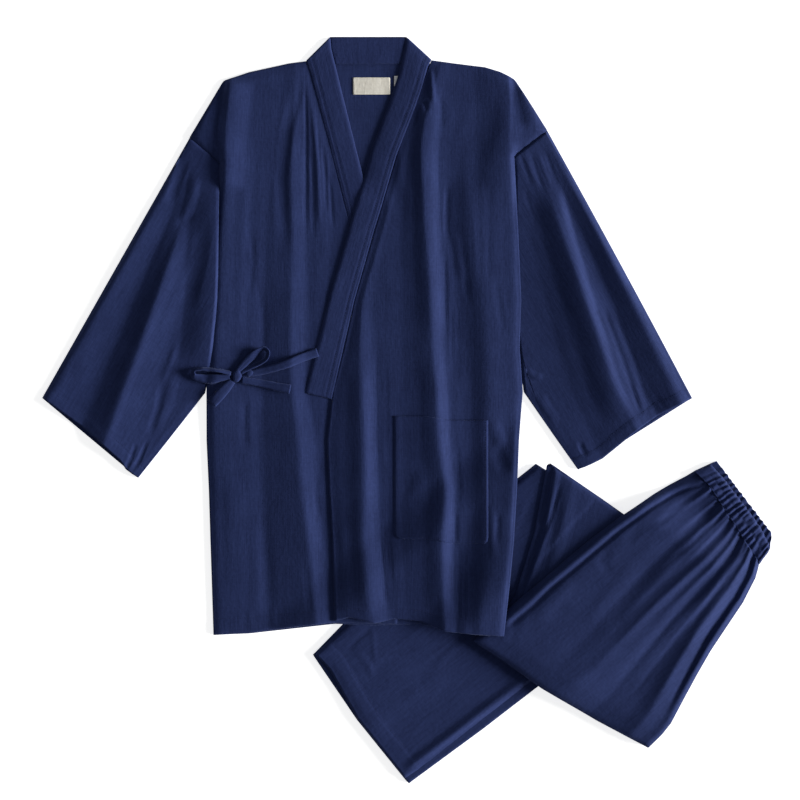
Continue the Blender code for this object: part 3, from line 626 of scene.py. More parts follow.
def weave_group() -> bpy.types.NodeTree:
    """The weave that all the cotton shares: slubs along the warp, finer ones along the weft, and a crepe relief.

    Returns:
        A shader group with the outputs Shade, from 0 to 1, and Height.
    """
    tree = bpy.data.node_groups.new("double gauze weave", "ShaderNodeTree")
    tree.interface.new_socket("Cloth", in_out="INPUT", socket_type="NodeSocketVector")
    tree.interface.new_socket("Shade", in_out="OUTPUT", socket_type="NodeSocketFloat")
    tree.interface.new_socket("Height", in_out="OUTPUT", socket_type="NodeSocketFloat")
    nodes, links = tree.nodes, tree.links
    entry, result = nodes.new("NodeGroupInput"), nodes.new("NodeGroupOutput")
    sums: dict[str, bpy.types.NodeSocket | None] = {"Shade": None, "Height": None}
    for number, streak in enumerate(WEAVE_STREAKS):
        mapping = nodes.new("ShaderNodeMapping")
        mapping.inputs["Location"].default_value = (STREAK_SHIFT[0] * number, STREAK_SHIFT[1] * number, 0)
        mapping.inputs["Scale"].default_value = (1 / streak.across, 1 / streak.along, 1)
        noise = nodes.new("ShaderNodeTexNoise")
        noise.noise_dimensions = "2D"
        noise.inputs["Scale"].default_value = 1.0
        noise.inputs["Detail"].default_value = STREAK_DETAIL
        links.new(entry.outputs["Cloth"], mapping.inputs["Vector"])
        links.new(mapping.outputs["Vector"], noise.inputs["Vector"])
        for output, share in (("Shade", streak.shade), ("Height", streak.height)):
            if share == 0:
                continue
            centred = nodes.new("ShaderNodeMath")
            centred.operation = "MULTIPLY_ADD"
            centred.inputs[1].default_value = 2.0 * share
            centred.inputs[2].default_value = -1.0 * share
            links.new(noise.outputs["Fac"], centred.inputs[0])
            if sums[output] is None:
                sums[output] = centred.outputs[0]
                continue
            added = nodes.new("ShaderNodeMath")
            added.operation = "ADD"
            links.new(sums[output], added.inputs[0])
            links.new(centred.outputs[0], added.inputs[1])
            sums[output] = added.outputs[0]
    for output in sums:
        lifted = nodes.new("ShaderNodeMath")
        lifted.operation = "ADD"
        lifted.inputs[1].default_value = 0.5
        lifted.use_clamp = output == "Shade"
        links.new(sums[output], lifted.inputs[0])
        links.new(lifted.outputs[0], result.inputs[output])
    return tree


@dataclass
class Wardrobe:
    """What every piece is made with: the finishes, and the list of what has been made."""

    finishes: dict[str, bpy.types.Material]
    made: list[bpy.types.Object]

    def add(self, name: str, points: np.ndarray, faces: np.ndarray, cloth: np.ndarray,
            finish: str) -> bpy.types.Object:
        """Adds a closed mesh, turned so that its faces point out.

        Args:
            name: The piece's name.
            points: Its points, in millimetres.
            faces: Its four-sided faces.
            cloth: Each point's place on the cloth, in millimetres.
            finish: The name of its finish.

        Returns:
            The new object.
        """
        a, b, c, d = (points[faces[:, i]] for i in range(4))
        volume = np.einsum("ij,ij->i", a, np.cross(b, c)).sum() + np.einsum("ij,ij->i", a, np.cross(c, d)).sum()
        if volume < 0:
            faces = faces[:, ::-1]
        return self.place(name, points, faces.tolist(), cloth, finish)

    def place(self, name: str, points: np.ndarray, faces: list, cloth: np.ndarray, finish: str) -> bpy.types.Object:
        """Puts a mesh whose faces point out already into the scene. Its arguments are those of add."""
        mesh = bpy.data.meshes.new(name)
        mesh.from_pydata((points * MM).tolist(), [], faces)
        mesh.shade_smooth()
        corner = np.zeros(len(mesh.loops), np.int32)
        mesh.loops.foreach_get("vertex_index", corner)
        layer = mesh.uv_layers.new(name="cloth")
        layer.data.foreach_set("uv", (cloth[corner] * MM).astype(np.float32).ravel())
        mesh.materials.append(self.finishes[finish])
        piece = linked(name, mesh)
        self.made.append(piece)
        LOG.info("%s: %d faces", name, len(faces))
        return piece

    def tube(self, name: str, outer: np.ndarray, inner: np.ndarray, cloth: np.ndarray,
             finish: str) -> bpy.types.Object:
        """A tube of cloth, open at both ends, whose outer and inner points are rows of rings."""
        rows, cols = outer.shape[:2]
        index = np.arange(rows * cols).reshape(rows, cols)
        within = index + rows * cols
        faces = np.concatenate([
            quads(index, closed=True), quads(within, closed=True)[:, ::-1],
            quads(np.stack([within[0], index[0]]), closed=True),
            quads(np.stack([index[-1], within[-1]]), closed=True),
        ])
        points = np.concatenate([outer.reshape(-1, 3), inner.reshape(-1, 3)])
        return self.add(name, points, faces, np.concatenate([cloth.reshape(-1, 2)] * 2), finish)

    def shell(self, name: str, upper: np.ndarray, lower: np.ndarray, grain: Grain, finish: str,
              rims: tuple[np.ndarray, ...] = (), cloth: np.ndarray | None = None) -> bpy.types.Object:
        """A closed shell of cloth between two surfaces.

        Args:
            name: The piece's name.
            upper: Its upper surface.
            lower: Its lower surface, with as many points.
            grain: The way its warp runs.
            finish: The name of its finish.
            rims: Loops of points between the surfaces' borders, from the upper one down.
            cloth: Each grid point's place on the cloth, where the grain doesn't say it.

        Returns:
            The new object.
        """
        rows, cols = upper.shape[:2]
        above = np.arange(rows * cols).reshape(rows, cols)
        below = above + rows * cols
        if not rims:
            rims = (self.rounded_rim(upper, lower),)
        if cloth is None:
            cloth = np.stack(grain.lay(upper[..., 0], upper[..., 1]), axis=-1)
        flat = cloth.reshape(-1, 2)
        points, places, loops = [upper.reshape(-1, 3), lower.reshape(-1, 3)], [flat, flat], [border(above)]
        edge = border(cloth)
        for number, rim in enumerate(rims):
            points.append(rim)
            places.append(edge)
            loops.append(np.arange(len(rim)) + 2 * rows * cols + number * len(rim))
        loops.append(border(below))
        faces = [quads(above), quads(below)[:, ::-1]]
        faces += [quads(np.stack(pair), closed=True)[:, ::-1] for pair in zip(loops[:-1], loops[1:])]
        return self.add(name, np.concatenate(points), np.concatenate(faces), np.concatenate(places), finish)

    @staticmethod
    def rounded_rim(upper: np.ndarray, lower: np.ndarray) -> np.ndarray:
        """A loop half way down the edge of a cloth, a little outside it."""
        middle = (border(upper) + border(lower)) / 2
        half = float(np.abs(border(upper)[:, 2] - border(lower)[:, 2]).mean()) / 2
        plan = bulged(upper, min(0.6 * half, 0.5))
        return np.column_stack([plan, middle[:, 2]])

    @staticmethod
    def dress(piece: bpy.types.Object, node: str, slot: str = "double_gauze") -> None:
        """Has a piece ride on the set's body and stand for its solid, whose part is hidden."""
        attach(piece, BODY)
        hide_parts(node)


def declare(piece: bpy.types.Object, width: float, length: float, area: float, held: str,
            rests_on: list[str], with_pieces: tuple = ()) -> None:
    """Says what cloth a piece was cut from.

    Args:
        piece: The piece; not used.
        width: The cut's width, in millimetres.
        length: The cut's length, in millimetres.
        area: The cut's area, in square metres.
        held: How the cloth lies; not used.
        rests_on: What it lies on; not used.
        with_pieces: The separate pieces on it; not used.
    """
    flat = (width * MM, length * MM)
    area = min(area, flat[0] * flat[1])


# The front that lies under, from its side seam to its front edge
UNDER_LINES = (
    Line("side", UNDER_FRONT), Line("rim", UNDER_FRONT), Line("swell", UNDER_FRONT), Line("trough", UNDER_FRONT),
    Line("foot", UNDER_FRONT, Flank.STRAIGHT), Line("crest", UNDER_FRONT, Flank.STRAIGHT),
    Line("end", UNDER_FRONT), Line("cover", UNDER_FRONT), Line("front", UNDER_FRONT),
)
UNDER_SECTIONS = each(
    Section,
    (427, 453, (-242, -233, -208, -182, -162, -146, -140, -136, -132),
     (0, 0.3, 0.3, 0, 0, 0.3, 0, 0, 0), FRONT_AT_SEAM),
    (354, 354, (-284, -240, -214, -192, -172, -151, -138, -122, -105),
     (0.4, 0.8, 1.0, 0.3, 0.2, 2.5, 0.6, 0, 0)),
    (321, 321, (-245, -237, -213, -193, -174, -152, -135, -117, -97),
     (0.2, 4.2, 2.2, 0.5, 0.2, 3.6, 0.6, 0, 0)),
    (235, 235, (-250, -243, -218, -206, -186, -150, -134, -108, -75),
     (1.6, 3.6, 2.4, 1.2, 0.6, 3.4, 0.3, 0, 0)),
    (143, 143, (-254, -247, -222, -208, -186, -152, -131, -95, -50),
     (1.6, 3.4, 2.4, 1.4, 0.6, 4.2, 0.2, 0, 0)),
    (80, 80, (-259, -251, -226, -210, -188, -153, -132, -92, -35),
     (1.6, 3.2, 2.2, 1.3, 0.6, 4.5, 0.2, 0, 0)),
    (24, 24, (-262, -254, -230, -212, -190, -151, -132, -92, -22),
     (1.6, 2.4, 1.8, 1.2, 0.5, 4.9, 0.2, 0, 0)),
    (-39, -39, (-262, -254, -236, -214, -192, -143, -120, -90, -18),
     (-0.5, 0.3, 0.8, 0.8, 0.3, 6.2, 0.2, 0, 0)),
    (-104, -104, (-259, -251, -232, -212, -190, -139, -117, -87, -16),
     (-0.5, 0.3, 0.8, 0.8, 0.3, 7.0, 0.2, 0, 0)),
    (-169, -169, (-257, -249, -230, -209, -186, -129, -111, -83, -15),
     (-0.5, 0.3, 0.8, 0.8, 0.3, 7.0, 0.2, 0, 0)),
    (-230, -230, (-255, -248, -226, -204, -180, -123, -105, -79, -15),
     (-0.5, 0.3, 0.8, 0.8, 0.3, 6.2, 0.2, 0, 0)),
    (-292, -277, (-253, -246, -222, -198, -174, -120, -101, -73, -15),
     (-0.5, 0.3, 0.8, 0.8, 0.3, 4.2, 0.2, 0, 0)),
)
UNDER_SHOULDER = ((-242, 424.5), (-239.5, 427.6), (-235, 429.2), (-207, 438.6), (-155, 450), (-132, 453))
UNDER_HEM = ((-253, -292), (-206, -289), (-141, -280), (-96, -275), (-15, -277))
UNDER_CREASES = each(
    Crease,
    (((-229, 436), (-233, 409), (-238, 364), (-239.5, 340), (-238, 321), (-240, 280)), 4.8, 30, 9, 0.12),
    (((-285, 353.5), (-247, 322)), -0.25, 2.5, 2.5, 0.0),
    (((-137, 444), (-146, 400), (-156, 360), (-163, 300), (-160, 235), (-158, 190)), -1.3, 7, 13),
    (((-135, 440), (-133, 364), (-133, 300), (-133, 205)), -1.1, 3.5, 3.0),
    (((-127, 345), (-124, 290), (-124, 212)), -0.9, 3.2, 3.0),
    (((-126, 405), (-118, 312), (-115, 221)), 1.1, 4.5, 3.5),
    (((-112, 351), (-108, 300), (-107, 250)), -0.9, 4.0, 3.5),
    (((-103, 305), (-98, 234)), -0.7, 3.5, 3.0),
    (((-206, 245), (-203, 200), (-207, 140)), -0.6, 7, 4),
    (((-196, 175), (-190, 120), (-190, 60)), -0.5, 8, 5),
    (((-211, 24), (-212, -20), (-210, -60)), -0.8, 5, 9),
    (((-120, -80), (-119, -110), (-117, -146)), -1.3, 2.8, 2.4),
    (((-133, -190), (-130, -230), (-126, -276)), -0.7, 3.5, 4),
    (((-226, -60), (-224, -150), (-222, -250)), 0.5, 16, 18),
    (((-190, -120), (-186, -200), (-184, -285)), -0.7, 12, 10),
    (((-205, -255), (-204, -289)), 0.5, 5, 5),
    (((-176, -250), (-175, -286)), 0.5, 4, 5),
)

# The front that laps over, from its front edge to its side seam
OVER_LINES = (
    Line("front", OVER_FRONT), Line("foot_a", OVER_FRONT, Flank.STRAIGHT),
    Line("crest_a", OVER_FRONT, Flank.STRAIGHT), Line("end_a", OVER_FRONT), Line("middle", OVER_FRONT),
    Line("foot_b", OVER_FRONT, Flank.STRAIGHT), Line("crest_b", 4.1, Flank.STRAIGHT), Line("end_b", 3.5),
    Line("dip", 2.9), Line("swell", 2.7), Line("rim", 2.6), Line("side", 2.5),
)
OVER_SECTIONS = each(
    Section,
    (454, 426, (30, 31.5, 33, 34.5, 36, 38, 43, 54, 80, 108, 132, 141.5),
     (0, 0, 0, 0, 0, 0, 0.3, 0, 0, 0.3, 0.3, 0), FRONT_AT_SEAM),
    (363, 363, (-5, -3.5, -2, -0.5, 0.8, 2, 17, 33, 62, 108, 133, 180),
     (0, 0, 0, 0, 0, 0, 2.8, 0.4, 0, 0.8, 2.5, -0.2), UNDER_FRONT),
    (330, 330, (-16, -12, -9, -6, -3, 0, 16, 36, 50, 80, 130, 137),
     (0.5, 0.5, 0.5, 0.5, 0.3, 0.3, 4.3, 0.5, 0, 2.0, 3.5, 0.2), UNDER_FRONT),
    (235, 235, (-44, -38, -33, -28, -20, -10, 22, 42, 54, 86, 135, 142),
     (0, 0, 0.3, 0, 0, 0, 5.2, 0.3, 0, 4.2, 3.0, 1.6)),
    (143, 143, (-70, -66, -60, -48, -28, -8, 29, 46, 66, 100, 139, 146),
     (0, 0, 1.0, 0, 0, 0, 5.2, 0.2, 0, 4.6, 3.0, 1.6)),
    (80, 80, (-84, -79, -63, -45, -24, -8, 31, 48, 72, 104, 137, 144),
     (0, 0, 3.2, 0, 0, 0, 5.0, 0.2, 0, 4.6, 3.0, 1.6)),
    (24, 24, (-98, -94, -61, -44, -22, -8, 37, 52, 78, 106, 141, 148),
     (0, 0, 4.2, 0, 0, 0, 5.2, 0.2, 0, 4.4, 2.8, 1.6)),
    (-39, -39, (-106, -100, -58, -43, -22, -8, 38, 55, 80, 104, 137, 143),
     (0, 0, 4.5, 0, 0, 0, 5.8, 0.2, 0, 3.2, 1.4, -0.9)),
    (-104, -104, (-103, -98, -57, -41, -20, -6, 49, 62, 82, 104, 134, 140),
     (0, 0, 4.8, 0, 0, 0, 5.8, 0.2, 0, 3.0, 1.2, -0.9)),
    (-169, -169, (-99, -94, -60, -38, -20, -6, 42, 58, 80, 102, 130, 136),
     (0, 0, 5.0, 0, 0, 0, 6.0, 0.2, 0, 2.4, 1.0, -0.9)),
    (-230, -230, (-97, -91, -55, -32, -14, -4, 45, 61, 80, 98, 124, 130),
     (0, 0, 5.0, 0, 0, 0, 6.0, 0.2, 0, 1.6, 0.8, -0.9)),
    (-273, -292, (-96, -88, -46, -24, -8, 2, 46, 62, 80, 94, 117, 123),
     (0, 0, 4.5, 0, 0, 0, 5.2, 0.2, 0, 1.2, 0.6, -0.9)),
)
OVER_SHOULDER = ((30, 454), (59, 450), (99, 445), (119, 438.8), (130.6, 433), (137.5, 429.2), (141.5, 423.5))
OVER_HEM = (
    (-96, -273), (-76, -268), (-44, -276), (-18, -270), (15, -273), (47, -286), (80, -289), (123, -292),
)
OVER_CREASES = each(
    Crease,
    (((121, 480), (131, 412), (133, 385), (134, 350), (134, 300), (135, 250)), 2.7, 6, 46, 0.25),
    (((135.5, 436), (137.5, 405), (138.5, 384), (139, 360)), -1.2, 16, 4, 0.2),
    (((146, 424), (152, 408), (159, 388), (166, 364)), 3.0, 12, 17, 0.2),
    (((181, 364), (139, 331)), -0.25, 2.5, 2.5, 0.0),
    (((146, 348), (150, 340), (153, 333)), -0.6, 3, 3),
    (((158, 358), (163, 350), (166, 343)), -0.5, 3, 3),
    (((33, 440), (31, 390), (26, 330), (27, 235), (30, 150), (33, 60)), 2.1, 14, 22, 0.2),
    (((-20, 400), (-26, 350), (-22, 300), (-8, 240)), -1.2, 14, 14),
    (((-62, 60), (-60, 0), (-57, -104), (-52, -200), (-44, -270)), 1.8, 15, 22, 0.1),
    (((31, 80), (37, 24), (40, -60), (49, -104), (43, -169), (46, -270)), 1.8, 14, 24, 0.1),
    (((28, 447), (30, 420), (33, 392)), 1.7, 5, 4),
    (((19, 402), (25, 389)), -1.4, 4, 4, 0.2),
    (((41, 410), (43.5, 364)), -0.8, 3.5, 3.5),
    (((50, 300), (48.7, 253), (49, 210)), -1.0, 6, 4, 0.35),
    (((58, 240), (66, 206), (73, 160)), 0.9, 6, 9),
    (((66, 224), (73, 178), (77, 130)), -0.9, 7, 4, 0.35),
    (((47.5, 215), (48.5, 140), (50, 80)), -0.9, 3, 3),
    (((56, 150), (57, 80), (59, 10)), -0.8, 3, 3),
    (((63, 145), (64, 80), (64, 12)), -0.6, 3, 3),
    (((-40, 95), (-39, 20), (-38, -60), (-37, -120), (-34, -180), (-27, -270)), -1.2, 3.2, 3.2, 0.12),
    (((-31, 105), (-30, 20), (-31, -60), (-31, -120)), -0.8, 3, 3),
    (((-28, -50), (-28, -120), (-25, -190), (-19, -268)), -0.9, 3, 3),
    (((62, -36), (65, -80), (66, -120)), -0.9, 3, 3),
    (((60, -126), (61, -150), (61, -180)), -1.3, 4, 4, 0.35),
    (((66, -172), (66, -220), (66, -275)), -0.9, 3, 3, 0.15),
    (((72, -172), (72, -220), (72, -275)), -0.6, 3, 3, 0.15),
    (((116, 410), (92, 355), (66, 270)), -1.1, 24, 26),
    (((90, 300), (92, 220), (94, 150)), -0.5, 4, 4),
    (((102, 310), (104, 220), (103, 150)), -0.5, 4, 4),
    (((112, 180), (117, 140), (124, 95)), -0.6, 4, 5),
    (((26, -70), (12, -100), (-6, -146)), 1.0, 18, 14),
    (((108, -10), (117, -34), (124, -50)), 1.2, 10, 12),
    (((110, -48), (120, -64), (128, -84)), -1.2, 10, 12),
    (((106, -118), (108, -160), (110, -200)), 0.8, 8, 6),
    (((117, -130), (116, -150), (113, -176)), -0.8, 5, 5),
    (((-86, -140), (-84, -180), (-80, -230)), 0.4, 8, 8),
)

@dataclass
class Panel:
    """A flat panel of the jacket: a grid whose lines run down the cloth and whose sections cross them."""

    lines: tuple[Line, ...]
    sections: tuple[Section, ...]
    top: Points
    hem: Points
    pitch: float

    def surface(self) -> np.ndarray:
        """The panel's underside, as points in rows down the panel.

        Returns:
            Rows of columns of points, in millimetres.
        """
        x = np.array([section.at for section in self.sections], float)
        beds = np.array([line.bed for line in self.lines])
        z = np.array([np.array(s.rise) + (s.bed if s.bed else beds) for s in self.sections])
        across = [max(1, round(float(gap) / self.pitch)) for gap in np.diff(x, axis=1).mean(0)]
        x = filled(x, across, 1)
        z = filled(z, across, 1, [line.flank for line in self.lines[:-1]])
        share = (x - x[:, :1]) / (x[:, -1:] - x[:, :1])
        left = np.array([[section.left_y] for section in self.sections], float)
        right = np.array([[section.right_y] for section in self.sections], float)
        y = left + (right - left) * share
        y[0] = self.profile(self.top, x[0])
        y[-1] = self.profile(self.hem, x[-1])
        down = [max(1, round(float(gap) / self.pitch)) for gap in -np.diff(y.mean(1))]
        grid = filled(np.stack([x, y, z], axis=-1), down, 0)
        return self.softened(grid)

    @staticmethod
    def profile(points: Points, x: np.ndarray) -> np.ndarray:
        """The height of an outline at x."""
        table = np.array(points, float)
        return np.interp(x, table[:, 0], table[:, 1])

    def softened(self, grid: np.ndarray) -> np.ndarray:
        """The grid with its lines run smoothly through the sections, and with its outline kept."""
        soft = grid.copy()
        soft[..., [0, 2]] = smoothed(grid[..., [0, 2]], 16 / self.pitch, 0)
        soft[..., 2] = smoothed(soft[..., 2], 0.7, 1)
        keep = ease((edge_distance(grid, "left right") - 2) / 12)[..., None]
        keep = keep * ease(edge_distance(grid, "start end") / 6)[..., None]
        made = grid * (1 - keep) + soft * keep
        made[..., 2] += JACKET_ON_PILE * pile(
            made[..., 0], made[..., 1], Trousers.LEGS_CORNERS, Trousers.THIGHS_CORNERS, Trousers.SEAT_CORNERS
        )
        return made


@dataclass
class Sleeve:
    """A laid sleeve: an upper layer with its folds, a flat lower one, and a rolled edge on both sides.

    Its armhole dips under the front's edge, and by tuck more below the Y of its corner.
    """

    runs: tuple[Run, ...]
    below: tuple
    creases: tuple[Crease, ...]
    grain: Grain
    corner: float
    tuck: float
    pitch: float = FINE
    hem: float = 17.0

    def surfaces(self) -> tuple[np.ndarray, np.ndarray]:
        """The outer surface of the upper layer, and that of the lower layer.

        Returns:
            Two grids, rows from armhole to cuff and columns from the shoulder's fold to the underarm's.
        """
        start, middle, end = (np.array([run[i] for run in self.runs], float) for i in (0, 1, 2))
        rows = 2 * round(float(np.linalg.norm(end - start, axis=1).mean()) / self.pitch / 2)
        t = np.linspace(0, 1, rows + 1)[:, None, None]
        lines = (1 - t) ** 2 * start + 2 * t * (1 - t) * (2 * middle - (start + end) / 2) + t**2 * end
        rise = filled(
            np.array([run.rise for run in self.runs], float).T, [rows // 2, rows // 2], 0, [Flank.SOFT, Flank.SOFT]
        )
        gaps = np.linalg.norm(np.diff(lines[rows // 2], axis=0), axis=1)
        cells = [max(1, round(float(gap) / self.pitch)) for gap in gaps]
        plan = filled(lines, cells, 1)
        height = SLEEVE_HEIGHT + filled(rise, cells, 1, [run.flank for run in self.runs[:-1]])
        upper = np.concatenate([plan, height[..., None]], axis=-1)
        soft = ease(edge_distance(upper) / 14)
        upper[..., 2] = upper[..., 2] * (1 - soft) + smoothed(upper[..., 2], 0.8, 1) * soft
        upper = uneven(upper, self.grain, LAID, self.creases, share=ease(edge_distance(upper, "left right") / 10))
        u = np.linspace(0, 1, upper.shape[1])[None, :, None]
        shoulder, underarm, cuff_shoulder, cuff_underarm = (np.array(corner, float) for corner in self.below)
        flat = (1 - t) * ((1 - u) * shoulder + u * underarm) + t * ((1 - u) * cuff_shoulder + u * cuff_underarm)
        lower = np.concatenate([flat, np.zeros_like(flat[..., :1])], axis=-1)
        return self.hemmed(upper), lower

    def hemmed(self, upper: np.ndarray) -> np.ndarray:
        """The upper layer with its turned hem, a little thicker, and the groove of its stitches."""
        far = edge_distance(upper, "end")
        tucked = 0.45 + self.tuck * ease((self.corner - upper[..., 1]) / 20)
        made = raised(upper, turned_hem(far, self.hem, 0.55, 0.5, 1.6))
        made[..., 2] -= tucked * ease(1 - edge_distance(upper, "start") / 4)
        return made

    def rings(self) -> tuple[np.ndarray, np.ndarray]:
        """The outer and the inner points of the sleeve, each a ring of columns round it."""
        upper, lower = self.surfaces()
        rings = []
        for wall in (0.0, CLOTH):
            top, bottom = raised(upper, -wall), raised(lower, wall)
            turns = []
            for edge, inward in ((0, 1), (-1, -2)):
                rim = (upper[:, edge] + lower[:, edge]) / 2
                out = np.zeros_like(rim)
                for layer in (top, bottom):
                    away = layer[:, edge] - layer[:, inward]
                    away[:, 2] = 0
                    away /= np.linalg.norm(away, axis=1, keepdims=True)
                    layer[:, edge] -= SLEEVE_ROLL * away
                    out += away / 2
                rim = rim - wall * out
                turn = []
                high, low = upper[:, edge, 2] - wall, wall
                for angle in (55, 25, 0, -25, -55):
                    place = rim - (SLEEVE_ROLL - wall * 0.5) * (1 - math.cos(math.radians(angle))) * out
                    place[:, 2] = (high + low) / 2 + (high - low) / 2 * math.sin(math.radians(angle)) * 1.05
                    turn.append(place)
                turns.append(np.stack(turn, axis=1))
            rings.append(np.concatenate([turns[0][:, ::-1], top, turns[1], bottom[:, ::-1]], axis=1))
        return rings[0], rings[1]


RIGHT_SLEEVE = Sleeve(
    runs=(
        Run((-284.3, 353.6), (-380, 185), (-476, 16), (0, 0, 0)),
        Run((-281.5, 351.2), (-376, 179), (-470, 11), (0, 2.6, 2.2)),
        Run((-270.3, 341.8), (-354, 146), (-424, -22), (0, 0, 0), Flank.STRAIGHT),
        Run((-262.3, 335.0), (-336, 120), (-396, -46), (0, 7.8, 7.6), Flank.STRAIGHT),
        Run((-245.3, 320.4), (-310, 96), (-374, -66), (0, 2.6, 3.0), Flank.STRAIGHT),
        Run((-246.5, 225.0), (-290, 58), (-367, -77), (0, 0.4, 1.4)),
        Run((-247.5, 120.0), (-291, 12), (-359, -83), (0, 0.2, 0.6)),
        Run((-264.0, 22.5), (-307, -33), (-351, -88), (0, 0, 0)),
    ),
    below=((-284.4, 353.9), (-264.6, 21.8), (-476, 15.5), (-351.5, -88.5)),
    creases=each(
        Crease,
        (((-243, 320), (-248, 235), (-252, 143), (-258, 80), (-262, 30)), 6.0, 7, 40, 0.2),
        (((-286, 240), (-314, 176), (-340, 110), (-368, 40), (-396, -46)), 0.9, 13, 12, 0.15),
        (((-288, 336), (-300, 300), (-312, 262)), -1.3, 9, 9),
        (((-276, 312), (-282, 276), (-292, 240)), 1.4, 10, 9),
        (((-303, 240), (-285, 247), (-276, 256)), -0.9, 8, 5),
        (((-262, 250), (-272, 190), (-290, 120)), -1.3, 12, 14),
        (((-352, -40), (-362, -66), (-370, -84)), -1.0, 4, 4),
        (((-338, -36), (-350, -66), (-360, -80)), -0.9, 4, 4),
        (((-318, 44), (-326, 0), (-340, -40)), -0.8, 7, 6),
        (((-300, 60), (-312, 10), (-330, -30)), 0.7, 9, 8),
        (((-300, 90), (-310, 60), (-322, 34)), 0.8, 6, 5),
        (((-440, 50), (-452, 30), (-462, 14)), 0.5, 8, 8),
        (((-402, 120), (-418, 84), (-436, 50)), 0.6, 12, 12),
    ),
    grain=Grain(-30),
    corner=320.4,
    tuck=0.2,
)
LEFT_SLEEVE = Sleeve(
    runs=(
        Run((180.3, 362.6), (279, 185), (368, 15), (0, 0, 0)),
        Run((174.3, 358.3), (272, 177), (353, 7), (0, 6.4, 6.2), Flank.STRAIGHT),
        Run((168.3, 353.6), (257, 158), (324, -7), (0, 0.2, 0.3), Flank.STEEPENING),
        Run((160.4, 347.6), (235, 128), (297, -26), (0, 7.2, 6.4), Flank.STRAIGHT),
        Run((137.4, 329.6), (190, 100), (252, -63), (0, 0.6, 0.6)),
        Run((138.5, 235.0), (168, 64), (238, -70), (0, 0.2, 0.8)),
        Run((139.5, 120.0), (168, 10), (229, -74), (0, 0.2, 0.3)),
        Run((149.5, 24.0), (185, -28), (220, -77), (0, 0, 0)),
    ),
    below=((180.4, 362.9), (150.0, 22.8), (369, 16), (220.3, -77.8)),
    creases=each(
        Crease,
        (((186, 300), (206, 226), (226, 156), (245, 94), (262, 36), (288, -18)), 4.4, 11, 32, 0.15),
        (((143, 336), (152, 312), (160, 290)), -0.5, 3.5, 3.5),
        (((149, 338), (160, 308), (170, 284)), 0.4, 3.5, 3.5),
        (((157, 340), (167, 308), (178, 280)), -0.5, 3.5, 3.5),
        (((166, 340), (176, 312), (188, 282)), 0.5, 4, 4),
        (((176, 340), (186, 312), (198, 280)), -0.4, 4, 4),
        (((150, 290), (158, 262), (168, 236)), -0.5, 4, 4),
        (((252, 136), (278, 66), (302, -8)), -1.1, 4, 4, 0.15),
        (((266, 130), (292, 66), (314, -4)), -0.8, 4, 4, 0.15),
        (((306, 24), (318, 6), (326, -6)), -0.8, 4, 4),
        (((318, 22), (328, 8), (336, 0)), -0.7, 4, 4),
        (((290, 40), (300, 16), (309, -10)), 0.7, 4, 4),
        (((152, 52), (164, 44), (176, 44)), 0.9, 6, 6),
        (((168, 24), (180, 2), (196, -20)), 0.8, 8, 8),
        (((222, -40), (226, -52), (232, -60)), -1.2, 5, 5),
        (((196, 120), (214, 60), (236, 0)), 0.7, 16, 18),
    ),
    grain=Grain(30),
    corner=329.6,
    tuck=1.0,
)


class BackPanel:
    """The back, whose two edges are lines and whose cells between them are all alike."""

    LINES = (Line("right", 0.0, Flank.STRAIGHT), Line("left", 0.0))
    SECTIONS = each(
        Section,
        (427, 424, (-241, 141), (0, 0)),
        (354, 363, (-284, 180), (0, 0)),
        (321, 330, (-281.8, 176.8), (0, 0)),
        (235, 235, (-276.1, 167.5), (0, 0)),
        (143, 143, (-270.0, 158.6), (0, 0)),
        (80, 80, (-265.8, 152.5), (0, 0)),
        (24, 24, (-262, 147), (0, 0)),
        (-39, -39, (-262, 143), (0, 0)),
        (-104, -104, (-259, 140), (0, 0)),
        (-169, -169, (-257, 136), (0, 0)),
        (-230, -230, (-255, 130), (0, 0)),
        (-292, -292, (-253, 123), (0, 0)),
    )
    TOP = (
        (-241, 424.5), (-235, 429), (-207, 438.6), (-155, 450), (-92, 450), (-11, 450), (59, 450), (99, 445),
        (119, 438.8), (137, 429), (141, 423.5),
    )
    HEM = ((-253, -292), (-206, -290), (-96, -277), (-44, -279), (15, -277), (80, -290), (123, -292))


# Neck band: at the back of the neck, down the front that lies under, and the lapel of the one that laps over
BAND_BACK = each(
    Station,
    ((-101.5, 484.4), (-2.8, 484.4), 0.0),
    ((-100.4, 470.0), (-4.8, 470.0), 0.0),
    ((-95.6, 450.4), (-8.6, 450.4), 0.0),
)
BAND_RIGHT = each(
    Station,
    ((-132.3, 454.0), (-102, 484.0), FRONT_AT_SEAM),
    ((-127.3, 438.0), (-101, 470.0), FRONT_AT_SEAM),
    ((-104.6, 353.0), (-74, 361.0), UNDER_BAND),
    ((-74.6, 236.0), (-44, 243.0), UNDER_BAND),
    ((-49.6, 143.0), (-17, 151.0), UNDER_BAND),
    ((-21.5, 24.0), (12, 30.0), UNDER_BAND),
)
LAPEL = each(
    Station,
    ((29.3, 455.0), (-2.4, 484.0), FRONT_AT_SEAM),
    ((24.5, 446.0), (-4.4, 472.0), 2.8, 0.8),
    ((16.5, 418.0), (-12.6, 436.0), 3.4, 1.4),
    ((7.5, 392.0), (-21.5, 408.0), 3.8, 1.9),
    ((-16.5, 330.0), (-47, 341.0), OVER_BAND, 2.6),
    ((-27.0, 294.0), (-57.0, 304.0), OVER_BAND, 2.2),
    ((-34.5, 268.0), (-64.5, 278.0), OVER_BAND, 0.0),
    ((-44.5, 235.0), (-74, 245.0), OVER_BAND),
    ((-70.5, 143.0), (-101, 152.0), OVER_BAND),
    ((-100.0, 14.5), (-133.8, 22.5), OVER_BAND),
)
LABEL = (-72, -24, 410, 432)
SIZE_TAG = (-18.6, -11, 421, 434)
LABEL_CLOTH = 0.5

